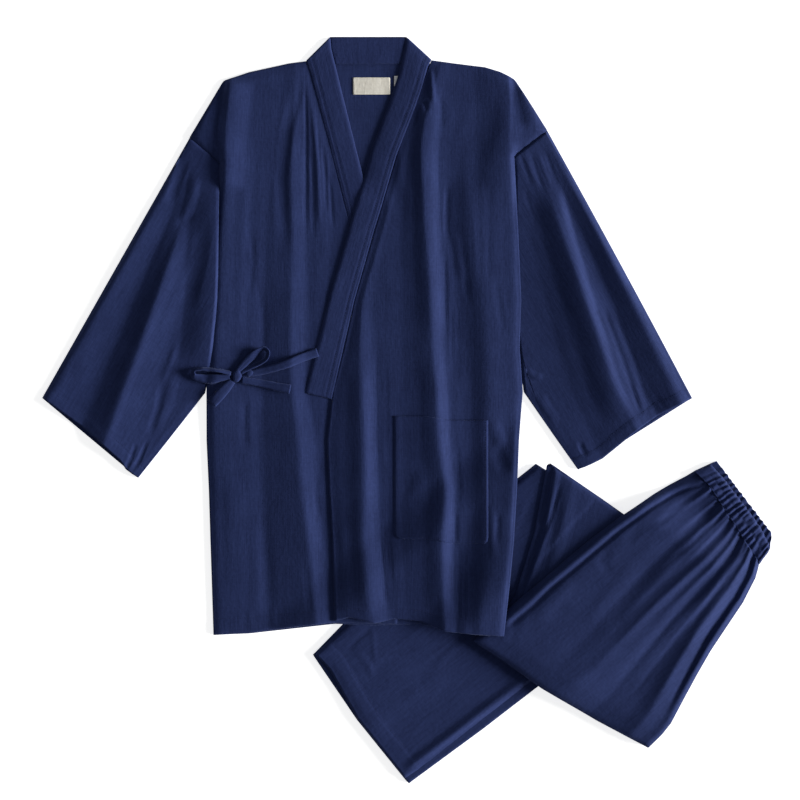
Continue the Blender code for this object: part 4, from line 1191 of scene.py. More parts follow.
# Patch pocket: its edges, its thickness, the radius of its lower corners and how far its stitches lie inside
POCKET = (-19, 103, -8, -167)
POCKET_CLOTH = 1.1
POCKET_CORNER = 9.0
POCKET_STITCH = 3.0


@dataclass
class Stitching:
    """Rows of stitches of one thread, made from paths by a tree of geometry nodes."""

    name: str
    paths: list[np.ndarray]
    pitch: float = 3.2
    length: float = 2.3
    thread: float = 0.30

    def tree(self, material: bpy.types.Material) -> bpy.types.NodeTree:
        """The tree that lays one stitch at every step along the paths.

        Args:
            material: The thread's finish.

        Returns:
            The tree, with the inputs Pitch, Length and Thread, in metres.
        """
        tree = bpy.data.node_groups.new(self.name + " tree", "GeometryNodeTree")
        face = tree.interface
        face.new_socket("Geometry", in_out="INPUT", socket_type="NodeSocketGeometry")
        for name in ("Pitch", "Length", "Thread"):
            face.new_socket(name, in_out="INPUT", socket_type="NodeSocketFloat")
        face.new_socket("Geometry", in_out="OUTPUT", socket_type="NodeSocketGeometry")
        nodes, links = tree.nodes, tree.links
        entry, result = nodes.new("NodeGroupInput"), nodes.new("NodeGroupOutput")
        curve = nodes.new("GeometryNodeMeshToCurve")
        resample = nodes.new("GeometryNodeResampleCurve")
        resample.mode = "LENGTH"
        tangent = nodes.new("GeometryNodeInputTangent")
        turn = nodes.new("FunctionNodeAlignRotationToVector")
        turn.axis = "X"
        ball = nodes.new("GeometryNodeMeshUVSphere")
        ball.inputs["Segments"].default_value = 6
        ball.inputs["Rings"].default_value = 4
        ball.inputs["Radius"].default_value = 0.5
        size = nodes.new("ShaderNodeCombineXYZ")
        place = nodes.new("GeometryNodeInstanceOnPoints")
        real = nodes.new("GeometryNodeRealizeInstances")
        finish = nodes.new("GeometryNodeSetMaterial")
        finish.inputs["Material"].default_value = material
        for source, output, target, socket in (
            (entry, "Geometry", curve, 0), (curve, 0, resample, "Curve"), (entry, "Pitch", resample, "Length"),
            (resample, 0, place, "Points"), (ball, "Mesh", place, "Instance"), (tangent, 0, turn, "Vector"),
            (turn, 0, place, "Rotation"), (entry, "Length", size, "X"), (entry, "Thread", size, "Y"),
            (entry, "Thread", size, "Z"), (size, 0, place, "Scale"), (place, 0, real, 0),
            (real, 0, finish, "Geometry"), (finish, 0, result, 0),
        ):
            links.new(source.outputs[output], target.inputs[socket])
        return tree

    def make(self, material: bpy.types.Material) -> bpy.types.Object:
        """The stitches as one plain mesh that rides on the set.

        Args:
            material: The thread's finish.

        Returns:
            The new object.
        """
        points: list = []
        edges: list = []
        for path in self.paths:
            first = len(points)
            points += (np.asarray(path) * MM).tolist()
            edges += [(first + i, first + i + 1) for i in range(len(path) - 1)]
        guide_mesh = bpy.data.meshes.new(self.name + "_guide")
        guide_mesh.from_pydata(points, edges, [])
        guide = linked(self.name + "_guide", guide_mesh)
        tree = self.tree(material)
        modifier = guide.modifiers.new("stitches", "NODES")
        modifier.node_group = tree
        values = {"Pitch": self.pitch * MM, "Length": self.length * MM, "Thread": self.thread * MM}
        for item in tree.interface.items_tree:
            if item.in_out == "INPUT" and item.name in values:
                modifier[item.identifier] = values[item.name]
        seen = guide.evaluated_get(bpy.context.evaluated_depsgraph_get())
        mesh = bpy.data.meshes.new_from_object(seen)
        mesh.name = self.name
        guide.modifiers.remove(modifier)
        bpy.data.objects.remove(guide)
        mesh.shade_smooth()
        piece = linked(self.name, mesh)
        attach(piece, BODY)
        LOG.info("%s: %d faces", self.name, len(mesh.polygons))
        return piece


@dataclass
class Jacket:
    """The wrap jacket: back, fronts, sleeves, neck band, label, pocket and the bow that closes it."""

    wardrobe: Wardrobe
    stitch_inset: float = 2.2
    stitch_gap: float = 5.4
    hem: float = 19.0
    rows: list[np.ndarray] = field(default_factory=list)

    def build(self) -> None:
        """Makes every piece of the jacket, from the lowest layer up."""
        self.make_back()
        under = self.make_front(
            "front_right", Panel(UNDER_LINES, UNDER_SECTIONS, UNDER_SHOULDER, UNDER_HEM, FINE), UNDER_CREASES
        )
        over = self.make_front(
            "front_left", Panel(OVER_LINES, OVER_SECTIONS, OVER_SHOULDER, OVER_HEM, FINE), OVER_CREASES
        )
        right_sleeve = self.make_sleeve("sleeve_right", RIGHT_SLEEVE)
        self.make_sleeve("sleeve_left", LEFT_SLEEVE)
        self.make_bands()
        self.make_labels()
        self.make_pocket(Surface(over))
        Bow(self.wardrobe, Surface(under, right_sleeve)).build()
        Stitching("jacket_stitches", self.rows).make(self.wardrobe.finishes["thread"])

    def make_back(self) -> None:
        """The back panel, which shows at the neck and at the hem."""
        panel = Panel(BackPanel.LINES, BackPanel.SECTIONS, BackPanel.TOP, BackPanel.HEM, COARSE)
        lower = panel.surface()
        shown = 0.7 * ease((lower[..., 1] - 200) / 60) * ease((450 - lower[..., 1]) / 20)
        upper = uneven(raised(lower, CLOTH), STRAIGHT_GRAIN, LAID[:1], share=0.45 * shown)
        piece = self.wardrobe.shell("jacket_back", upper, lower, STRAIGHT_GRAIN, "double_gauze")
        Wardrobe.dress(piece, "back")
        declare(piece, *BACK_CUT, area_of(lower), "laid", ["leg_shown", "seat_shown"])

    def make_front(self, node: str, panel: Panel, creases: tuple[Crease, ...]) -> np.ndarray:
        """A front panel.

        Args:
            node: The solid that it stands for.
            panel: Its lines and sections.
            creases: Its creases.

        Returns:
            Its upper surface.
        """
        lower = panel.surface()
        calm = ease(edge_distance(lower, "start left right") / 12)
        if node == "front_right":
            calm = calm * ease((-98 - lower[..., 0]) / 14)
        lower = uneven(lower, STRAIGHT_GRAIN, LAID, creases, share=calm)
        far = edge_distance(lower, "end")
        upper = raised(lower, CLOTH + turned_hem(far, self.hem, 0.45, 0.4, 1.7))
        piece = self.wardrobe.shell("jacket_" + node, upper, lower, STRAIGHT_GRAIN, "double_gauze")
        Wardrobe.dress(piece, node)
        width = float(np.ptp(lower[..., 0]))
        declare(piece, width, BACK_CUT[1], area_of(lower), "laid", ["back"])
        row = int(np.argmin(np.abs(far[:, upper.shape[1] // 2] - self.hem + HEM_INSET)))
        self.rows.append(raised(upper[row, 2:-2], STITCH_LIFT))
        return upper

    def make_sleeve(self, node: str, sleeve: Sleeve) -> np.ndarray:
        """A sleeve, as a tube that is open at armhole and cuff.

        Args:
            node: The solid that it stands for.
            sleeve: Its runs, creases and grain.

        Returns:
            Its upper surface.
        """
        outer, inner = sleeve.rings()
        cloth = np.stack(sleeve.grain.lay(outer[..., 0], outer[..., 1]), axis=-1)
        piece = self.wardrobe.tube("jacket_" + node, outer, inner, cloth, "double_gauze")
        Wardrobe.dress(piece, node)
        around, area = girth(outer)
        declare(piece, around, SLEEVE_CUT, area, "laid", ["back"])
        upper, _ = sleeve.surfaces()
        self.rows.append(raised(hem_row(upper, edge_distance(upper, "end"), sleeve.hem), 0.15))
        return upper

    def make_bands(self) -> None:
        """The neck band at the back, down the right front, and the lapel down the left front."""
        for name, node, stations, upright in (
            ("neck_band_back_cloth", "neck_band_back", BAND_BACK, True),
            ("neck_band_right_cloth", "neck_band_right", BAND_RIGHT, False),
            ("lapel_cloth", "lapel", LAPEL, False),
        ):
            outer = np.array([[*s.outer, s.bed] for s in stations], float)
            inner = np.array([[*s.inner, s.bed - s.sag] for s in stations], float)
            place = travelled(outer)
            width = float(np.linalg.norm(outer - inner, axis=1).mean())
            rows, cols = round(place[-1] / 2.2), round(width / 1.7)
            at = np.linspace(0, place[-1], rows + 1)
            steps = [np.stack([np.interp(at, place, edge[:, i]) for i in range(3)], 1) for edge in (outer, inner)]
            u = np.linspace(0, 1, cols + 1)[None, :, None]
            lower = steps[0][:, None] * (1 - u) + steps[1][:, None] * u
            drop = (steps[0] - steps[1])[:, None, 2:]
            lower[..., 2:] += drop * (u - u**1.7)
            flat = np.stack(np.broadcast_arrays(u[..., 0] * width, at[:, None]), axis=-1)
            upper = raised(lower, BAND)
            away = flat[..., 0] if not upright else flat[..., 1].max() - flat[..., 1]
            across = np.minimum(flat[..., 0], width - flat[..., 0])
            for crinkle in BANDED:
                upper[..., 2] += crinkle.on(flat[..., 0], flat[..., 1]) * ease(across / 5)
            for groove in (self.stitch_inset, self.stitch_inset + self.stitch_gap):
                upper[..., 2] -= 0.55 * np.exp(-(((away - groove) / 1.3) ** 2))
            if not upright:
                upper[..., 2] -= 0.7 * ease(1 - (width - flat[..., 0]) / 2.5)
            cloth = np.stack([flat[..., 0], flat[..., 1]], axis=-1)
            piece = self.wardrobe.shell(name, upper, lower, STRAIGHT_GRAIN, "neck_band", cloth=cloth)
            Wardrobe.dress(piece, node, "neck_band")
            declare(piece, width, float(place[-1]), area_of(lower), "folded", ["back", "front_right"])
            if upright:
                continue
            for groove in (self.stitch_inset, self.stitch_inset + self.stitch_gap):
                col = groove / width * cols
                low = int(col)
                line = upper[3:-3, low] * (1 - col + low) + upper[3:-3, low + 1] * (col - low)
                self.rows.append(raised(line, 0.1))

    def make_labels(self) -> None:
        """The bare neck label and the small size tag, stitched to the inside of the back."""
        tag = self.slip("size_tag_tape", SIZE_TAG, "satin_tape")
        Wardrobe.dress(tag, "size_tag", "size_tag")
        label = self.slip("neck_label_tape", LABEL, "label_tape")
        Wardrobe.dress(label, "label", "label")
        left, right, low, high = LABEL
        declare(label, right - left, high - low, (right - left) * (high - low) * MM * MM, "laid", ["back"], (tag,))

    def slip(self, name: str, box: tuple, finish: str) -> bpy.types.Object:
        """A small flat slip of tape on the inside of the back.

        Args:
            name: The piece's name.
            box: Its left, right, low and high edge.
            finish: The name of its finish.

        Returns:
            The new object.
        """
        left, right, low, high = box
        cols, rows = round((right - left) / 1.5) + 1, round((high - low) / 1.5) + 1
        plan = np.stack(np.meshgrid(np.linspace(left, right, cols), np.linspace(high, low, rows)), axis=-1)
        lower = np.concatenate([plan, np.full((rows, cols, 1), FRONT_AT_SEAM)], axis=-1)
        lower[..., 2] += 0.35 * np.sin((plan[..., 0] - left) / (right - left) * math.pi) ** 2
        return self.wardrobe.shell(name, raised(lower, LABEL_CLOTH), lower, STRAIGHT_GRAIN, finish)

    def make_pocket(self, ground: Surface) -> None:
        """The patch pocket, which lies on the front that it is sewn to and takes its folds.

        Args:
            ground: The upper surface of that front.
        """
        left, right, top, bottom = POCKET
        rows, cols = round((top - bottom) / FINE), round((right - left) / FINE)
        v, u = np.linspace(0, 1, rows + 1)[:, None], np.linspace(0, 1, cols + 1)[None, :]
        tilt = -5.5 * ease((u - 0.30) / 0.35)
        y = top + (bottom - top) * v + tilt * np.ones_like(v)
        past = np.clip((bottom + POCKET_CORNER - (top + (bottom - top) * v)) / POCKET_CORNER, 0, 1)
        inset = POCKET_CORNER * (1 - np.sqrt(1 - past**2 * 0.96))
        x = (left + inset) * (1 - u) + (right - 0.5 * inset) * u
        lower = np.stack([x, y, ground.height(x, y)], axis=-1)
        far = edge_distance(lower, "left right end")
        lower[..., 2] += 0.1 + (SEAM - 0.1) * ease(far / 2)
        upper = raised(lower, 0.35 + (POCKET_CLOTH - 0.35) * ease(far / 4.5) + 0.2 * ease((9 - far) / 4))
        upper[..., 2] -= 0.45 * np.exp(-(((far - POCKET_STITCH - 1.2) / 1.4) ** 2))
        mouth = edge_distance(lower, "start")
        upper[..., 2] += 0.5 * ease((4 - mouth) / 4)
        piece = self.wardrobe.shell("pocket_cloth", upper, lower, STRAIGHT_GRAIN, "double_gauze")
        Wardrobe.dress(piece, "pocket")
        declare(piece, right - left, top - bottom + 6, area_of(lower), "laid", ["front_left"])
        k = max(1, round(POCKET_STITCH / FINE))
        line = np.concatenate([upper[1:-k, k], upper[-1 - k, k:-k], upper[1:-k, -1 - k][::-1]])
        self.rows.append(raised(line, STITCH_LIFT))


@dataclass
class Bow:
    """The two ties and the bow that they make, each a narrow strip of doubled cloth."""

    wardrobe: Wardrobe
    ground: Surface
    cloth: float = 2.0
    lift: float = 0.8
    width: float = 12.0
    pitch: float = 1.4

    TIES = {
        "tie_lapel": (
            Bend(-118.2, 74.7, 0.5, 10, 0), Bend(-140, 67, 1.6, 10, 6), Bend(-154, 61, 2.4, 10, 8),
            Bend(-172, 55, 3.0, 9, 10), Bend(-190, 50.5, 2.6, 9, 8), Bend(-209, 46.5, 1.6, 6, 0),
        ),
        "tie_side": (
            Bend(-259, 38, 0, 10, 0), Bend(-247, 41, 0, 9, 0), Bend(-235.5, 44, 0, 5, 0),
        ),
        "bow_tail_right": (
            Bend(-216, 39, 1.6, 8, 0), Bend(-203, 37, 2.0, 8, 6), Bend(-190, 34.5, 2.0, 9, 8),
            Bend(-172, 30.5, 1.8, 10, 7), Bend(-153.5, 27, 1.2, 11, 4),
        ),
        "bow_tail_left": (
            Bend(-228.5, 37.5, 1.8, 8, 0), Bend(-236, 29, 2.4, 11, -2), Bend(-245, 19.5, 2.2, 13, -2),
            Bend(-255, 9, 1.2, 13, 0),
        ),
        "bow_loop_left": (
            Bend(-230.5, 47.0, 3.4, 6, 40), Bend(-247, 50.5, 4.0, 7, 62), Bend(-260, 52, 4.0, 8, 66),
            Bend(-270, 52.5, 4.0, 8, 66), Bend(-278.5, 50.0, 4.2, 8, 60), Bend(-278.5, 45.0, 3.6, 9, 40),
            Bend(-269, 41.5, 2.8, 10, 16), Bend(-257, 40.5, 2.6, 11, 6), Bend(-246, 41.5, 2.4, 9, 3),
            Bend(-232, 43.5, 2.2, 6, 0),
        ),
        "bow_loop_top": (
            Bend(-222, 50, 2.0, 6, 8), Bend(-213, 60.0, 2.2, 8, 12), Bend(-203, 70, 2.4, 9, 20),
            Bend(-195, 77, 3.1, 8, 44), Bend(-187, 80.5, 3.6, 8, 60), Bend(-181.5, 76.0, 3.6, 8, 62),
            Bend(-183, 67.5, 3.4, 8, 60), Bend(-192, 60.5, 3.0, 7, 52), Bend(-204, 55.0, 2.5, 6, 40),
            Bend(-217, 48.5, 2.0, 5, 20),
        ),
    }

    KNOT = (Lump(-222.5, 43.5, 5.6, 8.2, 6.4, -0.22, -14.0), Lump(-206.0, 48.0, 5.2, 4.4, 4.8, 0.0, 20.0))

    def build(self) -> None:
        """Makes the knot and then the strips that leave it."""
        knot = self.make_knot()
        for node, bends in self.TIES.items():
            self.make_strip(node, bends, (knot,) if node == "tie_lapel" else ())

    def make_strip(self, node: str, bends: tuple[Bend, ...], with_pieces: tuple) -> None:
        """One strip of the bow along its bends.

        Args:
            node: The solid that it stands for.
            bends: The stations along it.
            with_pieces: The pieces that go with it.
        """
        table = np.array(bends, float)
        place = travelled(table[:, :2])
        at = np.linspace(0, place[-1], round(place[-1] / self.pitch) + 1)
        fine = through(place, table, at)
        middle = fine[:, :2]
        ahead = np.gradient(middle, axis=0)
        ahead /= np.linalg.norm(ahead, axis=1, keepdims=True)
        side = np.stack([-ahead[:, 1], ahead[:, 0]], axis=-1)
        roll = np.radians(fine[:, 4])
        floor = self.ground.height(middle[:, 0], middle[:, 1]) + self.lift + fine[:, 2]
        floor = smoothed(floor, 2.0, 0)
        lifts = []
        shares = np.linspace(-0.5, 0.5, 9)
        out = np.column_stack([-side * np.sin(roll)[:, None], np.cos(roll)])
        for share in shares:
            reach = share * fine[:, 3]
            edge = middle + side * (reach * np.cos(roll))[:, None]
            height = floor + reach * np.sin(roll)
            lain = ease((np.cos(roll) - 0.93) / 0.06)
            under = self.ground.height(edge[:, 0], edge[:, 1]) + self.lift + fine[:, 2]
            height = height * (1 - lain) + smoothed(under, 1.5, 0) * lain
            lifts.append(np.column_stack([edge, height]))
        lower = np.stack(lifts, axis=1)
        plump = 1 - 0.30 * (2 * shares) ** 6 - 0.12 * np.exp(-((np.abs(2 * shares) - 0.72) ** 2) / 0.006)
        cloth = np.stack(np.broadcast_arrays((shares[None, :] + 0.5) * self.width, at[:, None]), axis=-1)
        rough = sum(crinkle.on(cloth[..., 0], cloth[..., 1]) for crinkle in SMALL)
        upper = lower + ((self.cloth * plump)[None, :] + rough)[..., None] * out[:, None]
        push = np.zeros_like(upper)
        across = np.column_stack([side * np.cos(roll)[:, None], np.sin(roll)])
        push[:, -1] += 0.5 * across
        push[:, 0] -= 0.5 * across
        push[0, :, :2] -= 0.4 * ahead[0]
        push[-1, :, :2] += 0.4 * ahead[-1]
        rim = border((upper + lower) / 2 + push)
        piece = self.wardrobe.shell(
            node + "_cloth", upper, lower, STRAIGHT_GRAIN, "double_gauze", rims=(rim,), cloth=cloth
        )
        Wardrobe.dress(piece, node)
        way = np.linalg.norm(np.diff(lower[:, 4], axis=0), axis=1).sum()
        declare(piece, self.width, float(way), area_of(lower), "laid", ["front_right"], with_pieces)

    def make_knot(self) -> bpy.types.Object:
        """The knot: the tie wrapped once round the others, and the smaller turn beside it.

        Returns:
            The knot's object.
        """
        points: list = []
        faces: list = []
        for lump in self.KNOT:
            first = len(points)
            made, around = self.lump(lump)
            points += made.tolist()
            faces += [[corner + first for corner in face] for face in around]
        everything = np.array(points)
        cloth = np.column_stack([everything[:, 0] + everything[:, 2], everything[:, 1]])
        piece = self.wardrobe.place("bow_knot_cloth", everything, faces, cloth, "double_gauze")
        Wardrobe.dress(piece, "bow_knot")
        return piece

    def lump(self, lump: Lump) -> tuple[np.ndarray, list]:
        """One closed turn of the tie.

        Args:
            lump: Its place and sizes.

        Returns:
            Its points, and its faces with their corners anticlockwise from outside.
        """
        rows, cols = 17, 36
        floor = float(self.ground.height(np.array([lump.x]), np.array([lump.y]))[0]) + self.lift
        tilt = np.linspace(-0.5, 0.5, rows)[1:-1, None] * math.pi
        turn = np.linspace(0, 2 * math.pi, cols, endpoint=False)[None, :]
        ring = np.cos(tilt) ** 0.7 * (1 + 0.05 * np.cos(3 * turn + 0.8) + 0.03 * np.sin(5 * turn))
        taper = 1 - lump.taper * np.sin(turn)
        x, y = lump.half_x * taper * ring * np.cos(turn), lump.half_y * ring * np.sin(turn)
        c, s = math.cos(math.radians(lump.turn)), math.sin(math.radians(lump.turn))
        lift = 0.5 + 0.5 * np.sign(np.sin(tilt)) * np.abs(np.sin(tilt)) ** 0.8
        height = floor + lump.height * lift * (1 - 0.10 * (y / lump.half_y) ** 2)
        grid = np.stack(np.broadcast_arrays(lump.x + c * x - s * y, lump.y + s * x + c * y, height), axis=-1)
        ends = [[lump.x, lump.y, floor], [lump.x, lump.y, floor + lump.height]]
        count = (rows - 2) * cols
        ringed = np.arange(count).reshape(rows - 2, cols)
        faces = quads(ringed, closed=True)[:, ::-1].tolist()
        faces += [[count, int(b), int(a)] for a, b in zip(ringed[0], np.roll(ringed[0], -1))]
        faces += [[count + 1, int(a), int(b)] for a, b in zip(ringed[-1], np.roll(ringed[-1], -1))]
        return np.concatenate([grid.reshape(-1, 3), ends]), faces


@dataclass
class Trousers:
    """The trousers, folded in three under the jacket, with a gathered elastic waist."""

    wardrobe: Wardrobe
    rows: list[np.ndarray] = field(default_factory=list)

    LEGS_EDGES = {
        "start": ((165.5, -70), (379, -205)),
        "end": ((-124, -318), (-67, -402), (0, -485)),
        "left": ((165.5, -70), (30, -178), (-84, -277), (-124, -318)),
        "right": ((379, -205), (164, -362), (98, -413), (30, -463), (0, -485)),
    }
    LEG_SHOWN_EDGES = {
        "start": ((167, -72.5), (366, -203)),
        "end": ((-121, -316), (-102, -336), (-66, -400), (-4, -478)),
        "left": ((167, -72.5), (30, -182), (-82, -280), (-121, -316)),
        "right": ((366, -203), (167, -348), (98, -402), (32, -454), (-4, -478)),
    }
    THIGHS_EDGES = {
        "start": ((180.5, -67), (249, -114), (381, -207)),
        "end": ((88, -303), (172, -359), (309, -437)),
        "left": ((180.5, -67), (163, -160), (138, -242), (88, -303)),
        "right": ((381, -207), (309, -437)),
    }
    THIGH_SHOWN_EDGES = {
        "start": ((187, -71.5), (249, -114.5), (381, -207)),
        "end": ((97, -306), (172, -359), (309, -437)),
        "left": ((187, -71.5), (171, -162), (146, -243), (97, -306)),
        "right": ((381, -207), (309, -437)),
    }
    SEAT_EDGES = {
        "start": ((371, -80), (388, -97), (422, -148), (455, -199)),
        "end": ((84, -299), (125, -325), (172, -360), (245, -403), (311, -438)),
        "left": ((371, -80), (361, -86), (340, -97), (319, -109), (278, -136), (240, -164), (206, -192),
                 (175, -219), (145, -244), (84, -299)),
        "right": ((455, -199), (450, -218), (434, -250), (413, -281), (392, -312), (374, -343), (357, -374),
                  (340, -406), (328, -421), (311, -438)),
    }
    LEGS_CORNERS = ((-128, -312), (-2, -489), (385, -208), (170, -66))
    THIGHS_CORNERS = ((82, -303), (310, -442), (386, -207), (184, -67))
    SEAT_CORNERS = ((80, -300), (312, -443), (458, -195), (250, -112))
    GATHERS = each(
        Gather,
        (0.13, 0.15, 0.060, 1.4, 0.40),
        (0.21, 0.22, 0.034, 2.8, 0.34),
        (0.31, 0.30, 0.036, 3.0, 0.30),
        (0.35, 0.39, 0.075, -1.8, 1.10),
        (0.41, 0.42, 0.034, 3.2, 0.38),
        (0.46, 0.46, 0.065, 1.6, 0.95),
        (0.50, 0.51, 0.032, 2.6, 0.42),
        (0.60, 0.50, 0.050, 3.4, 1.05),
        (0.67, 0.60, 0.030, 2.6, 0.55),
        (0.72, 0.66, 0.040, -2.4, 1.15),
        (0.77, 0.76, 0.034, 3.0, 0.70),
        (0.84, 0.885, 0.055, 4.2, 1.35),
        (0.915, 0.965, 0.034, -2.4, 1.25),
        (0.955, 0.985, 0.030, 3.0, 1.00),
    )
    LEG_CREASES = each(
        Crease,
        (((-47, -278), (-45, -300), (-43, -330)), 0.4, 4, 5),
        (((-84, -316), (-66, -298), (-46, -280)), -0.7, 3, 3),
        (((-70, -310), (-52, -330), (-44, -352)), 0.5, 6, 6),
        (((30, -336), (60, -310), (90, -294)), 0.5, 6, 6),
        (((-10, -370), (20, -366), (50, -340)), 0.5, 14, 16),
        (((176, -333), (166, -341), (98, -391), (28, -444), (-6, -469)), 2.8, 4, 10, 0.1),
        (((180, -340), (166, -350), (98, -400), (40, -444), (10, -464)), -1.4, 3, 3, 0.1),
    )
    THIGH_CREASES = each(
        Crease,
        (((190, -76), (177, -154), (150, -242), (104, -304)), 1.8, 9, 3, 0.03),
        (((197, -94), (184, -140), (162, -188), (136, -236), (112, -282)), -1.4, 3, 3, 0.08),
        (((210, -96), (200, -150), (176, -236)), 0.8, 14, 8),
    )
    SEAT_CREASES = each(
        Crease,
        (((388, -96), (362, -102), (344, -110), (314, -127), (271, -158), (227, -195), (184, -231),
          (158, -256), (129, -280)), -2.8, 2.6, 2.6, 0.02),
        (((384, -90), (360, -95), (340, -104), (309, -122), (266, -152), (222, -189), (179, -225),
          (153, -250), (122, -276)), 1.8, 6.0, 4.0, 0.02),
        (((376, -118), (350, -132), (318, -150)), -1.0, 6, 6),
        (((330, -134), (300, -152), (276, -176)), -0.9, 9, 12),
        (((398, -136), (372, -166), (334, -196)), -1.0, 5, 5),
        (((330, -196), (296, -230), (252, -290)), -0.8, 14, 12),
        (((430, -176), (400, -232), (352, -300)), -0.9, 5, 5),
        (((300, -200), (262, -236), (224, -286)), 0.7, 14, 12),
        (((216, -214), (186, -246), (160, -282)), 0.8, 14, 12),
        (((262, -176), (250, -196), (262, -214)), -0.7, 9, 9),
        (((150, -262), (138, -282), (128, -306)), -0.5, 8, 8),
        (((372, -262), (330, -318), (282, -380)), -0.9, 4, 4),
        (((404, -262), (380, -310), (346, -370), (330, -400)), -1.6, 3.5, 3.5),
        (((448, -206), (436, -226), (420, -252)), -1.2, 3, 3),
    )
    WAIST_SEAM = ((371.5, -80.5), (389, -97), (422, -148), (455, -199))
    WAIST_FRONT_TOP = ((394, -71), (408, -88), (441, -130), (457, -153), (471, -180))
    WAIST_BACK_TOP = ((401, -66), (412, -81), (444, -123.5), (475, -164))
    WAIST_HEIGHT = 9.0
    WAIST_PLEATS = 18
    WAIST_DROP = 2.0
    WAIST_ROLL = 1.6
    WAIST_WIDTH = 26.0
    WAIST_SEEDS = (41, 57, 63)
    HEM = 26.0
    STACK_GRID = (90, 64)
    STACK_FOLDS = 3
    ROLL = 4.5
    ROLL_DROP = 2.6

    def build(self) -> None:
        """Makes the three stretches from the floor up, and then the waistband."""
        self.make_leg()
        self.make_thigh()
        self.make_seat()
        self.make_waistband()
        Stitching("trouser_stitches", self.rows).make(self.wardrobe.finishes["thread"])

    def floor(self, x: np.ndarray, y: np.ndarray, *layers: Points) -> np.ndarray:
        """The height that a stretch lies at."""
        factor = SEAT_ON_PILE if len(layers) > 1 else 1.0
        return factor * pile(x, y, *layers)

    def core(self, plan: np.ndarray, thin: str) -> np.ndarray:
        """How thick the hidden layers are over a stretch: thinner towards the edges that are named in thin."""
        if not thin:
            return np.full(plan.shape[:2], CORE)
        return CORE * (0.45 + 0.55 * ease(edge_distance(plan, thin) / 30))

    def make_stack(self, node: str, edges: dict[str, Points], layers: tuple, grain: Grain, inset: float,
                   thin: str = "") -> None:
        """The hidden layers of a stretch: one rounded solid whose rim is parted into layers.

        Args:
            node: The solid that it stands for.
            edges: The outline of the stretch.
            layers: What it lies on.
            grain: The way its warp runs.
            inset: How far its flat top ends inside the outline.
            thin: The edges that it thins out towards.
        """
        plan = patch(edges, *self.STACK_GRID)
        middle = plan.copy()
        index = np.arange(plan[..., 0].size).reshape(self.STACK_GRID)
        middle.reshape(-1, 2)[border(index)] = bulged(plan, -inset)
        base = self.floor(middle[..., 0], middle[..., 1], *layers)
        lower = np.concatenate([middle, base[..., None]], axis=-1)
        thick = self.core(plan, thin) - 0.15
        upper = raised(lower, thick)
        rims = []
        steps = self.STACK_FOLDS * 4
        for step in range(1, steps):
            share = 1 - step / steps
            part = (step % 4) / 4
            out = inset - 1.5 + 1.7 * math.sqrt(max(0.0, 1 - (2 * part - 1) ** 2))
            rims.append(np.column_stack([bulged(middle, out), border(base) + share * border(thick)]))
        piece = self.wardrobe.shell(node + "_cloth", upper, lower, grain, "double_gauze", tuple(rims))
        Wardrobe.dress(piece, node)
        self.declare_stretch(piece, lower, ["floor"] if not layers else ["leg_shown", "thigh_shown"])

    def declare_stretch(self, piece: bpy.types.Object, grid: np.ndarray, rests_on: list[str]) -> None:
        """Works out the size and area of the cloth that a folded stretch was cut from, and hands them to declare."""
        width = float(np.linalg.norm(np.diff(grid[:, :, :2], axis=1), axis=-1).sum(1).max())
        length = float(np.linalg.norm(np.diff(grid[..., :2], axis=0), axis=-1).sum(0).max())
        declare(piece, width, length, area_of(grid), "folded", rests_on)

    def shown(self, edges: dict[str, Points], layers: tuple, pitch: float, rolled: str,
              thin: str = "") -> np.ndarray:
        """The underside of the cloth that shows on a stretch, rolled down where it is folded."""
        width = float(np.linalg.norm(np.diff(along(edges["end"], 2), axis=0)))
        length = max(float(np.linalg.norm(np.diff(along(edges[side], 2), axis=0))) for side in ("left", "right"))
        plan = patch(edges, round(length / pitch) + 1, round(width / pitch) + 1)
        base = self.floor(plan[..., 0], plan[..., 1], *layers)
        grid = np.concatenate([plan, (base + self.core(plan, thin) + CORE_GAP)[..., None]], axis=-1)
        far = edge_distance(grid, rolled)
        inwards = np.clip(self.ROLL - far, 0, self.ROLL)
        drop = self.ROLL - np.sqrt(np.clip(self.ROLL**2 - inwards**2, 0, None))
        grid[..., 2] -= np.minimum(drop, self.ROLL_DROP)
        return grid

    def make_leg(self) -> None:
        """The lower legs, with the turned hem at their end."""
        grain = Grain(-52)
        self.make_stack("legs_inside", self.LEGS_EDGES, (), grain, 2.6)
        lower = self.shown(self.LEG_SHOWN_EDGES, (), FINE, "right left")
        shown = outside(self.THIGHS_CORNERS, lower[..., 0], lower[..., 1]) >= 4
        calm = ease(edge_distance(lower) / 12) * shown
        lower = uneven(lower, grain, LAID, self.LEG_CREASES, share=0.8 * calm)
        far = edge_distance(lower, "end")
        upper = raised(lower, CLOTH + turned_hem(far, self.HEM, 0.5, 0.6, 1.8))
        piece = self.wardrobe.shell("leg_shown_cloth", upper, lower, grain, "double_gauze")
        Wardrobe.dress(piece, "leg_shown")
        self.declare_stretch(piece, lower, ["legs_inside"])
        self.rows.append(raised(hem_row(upper, far, self.HEM), STITCH_LIFT))

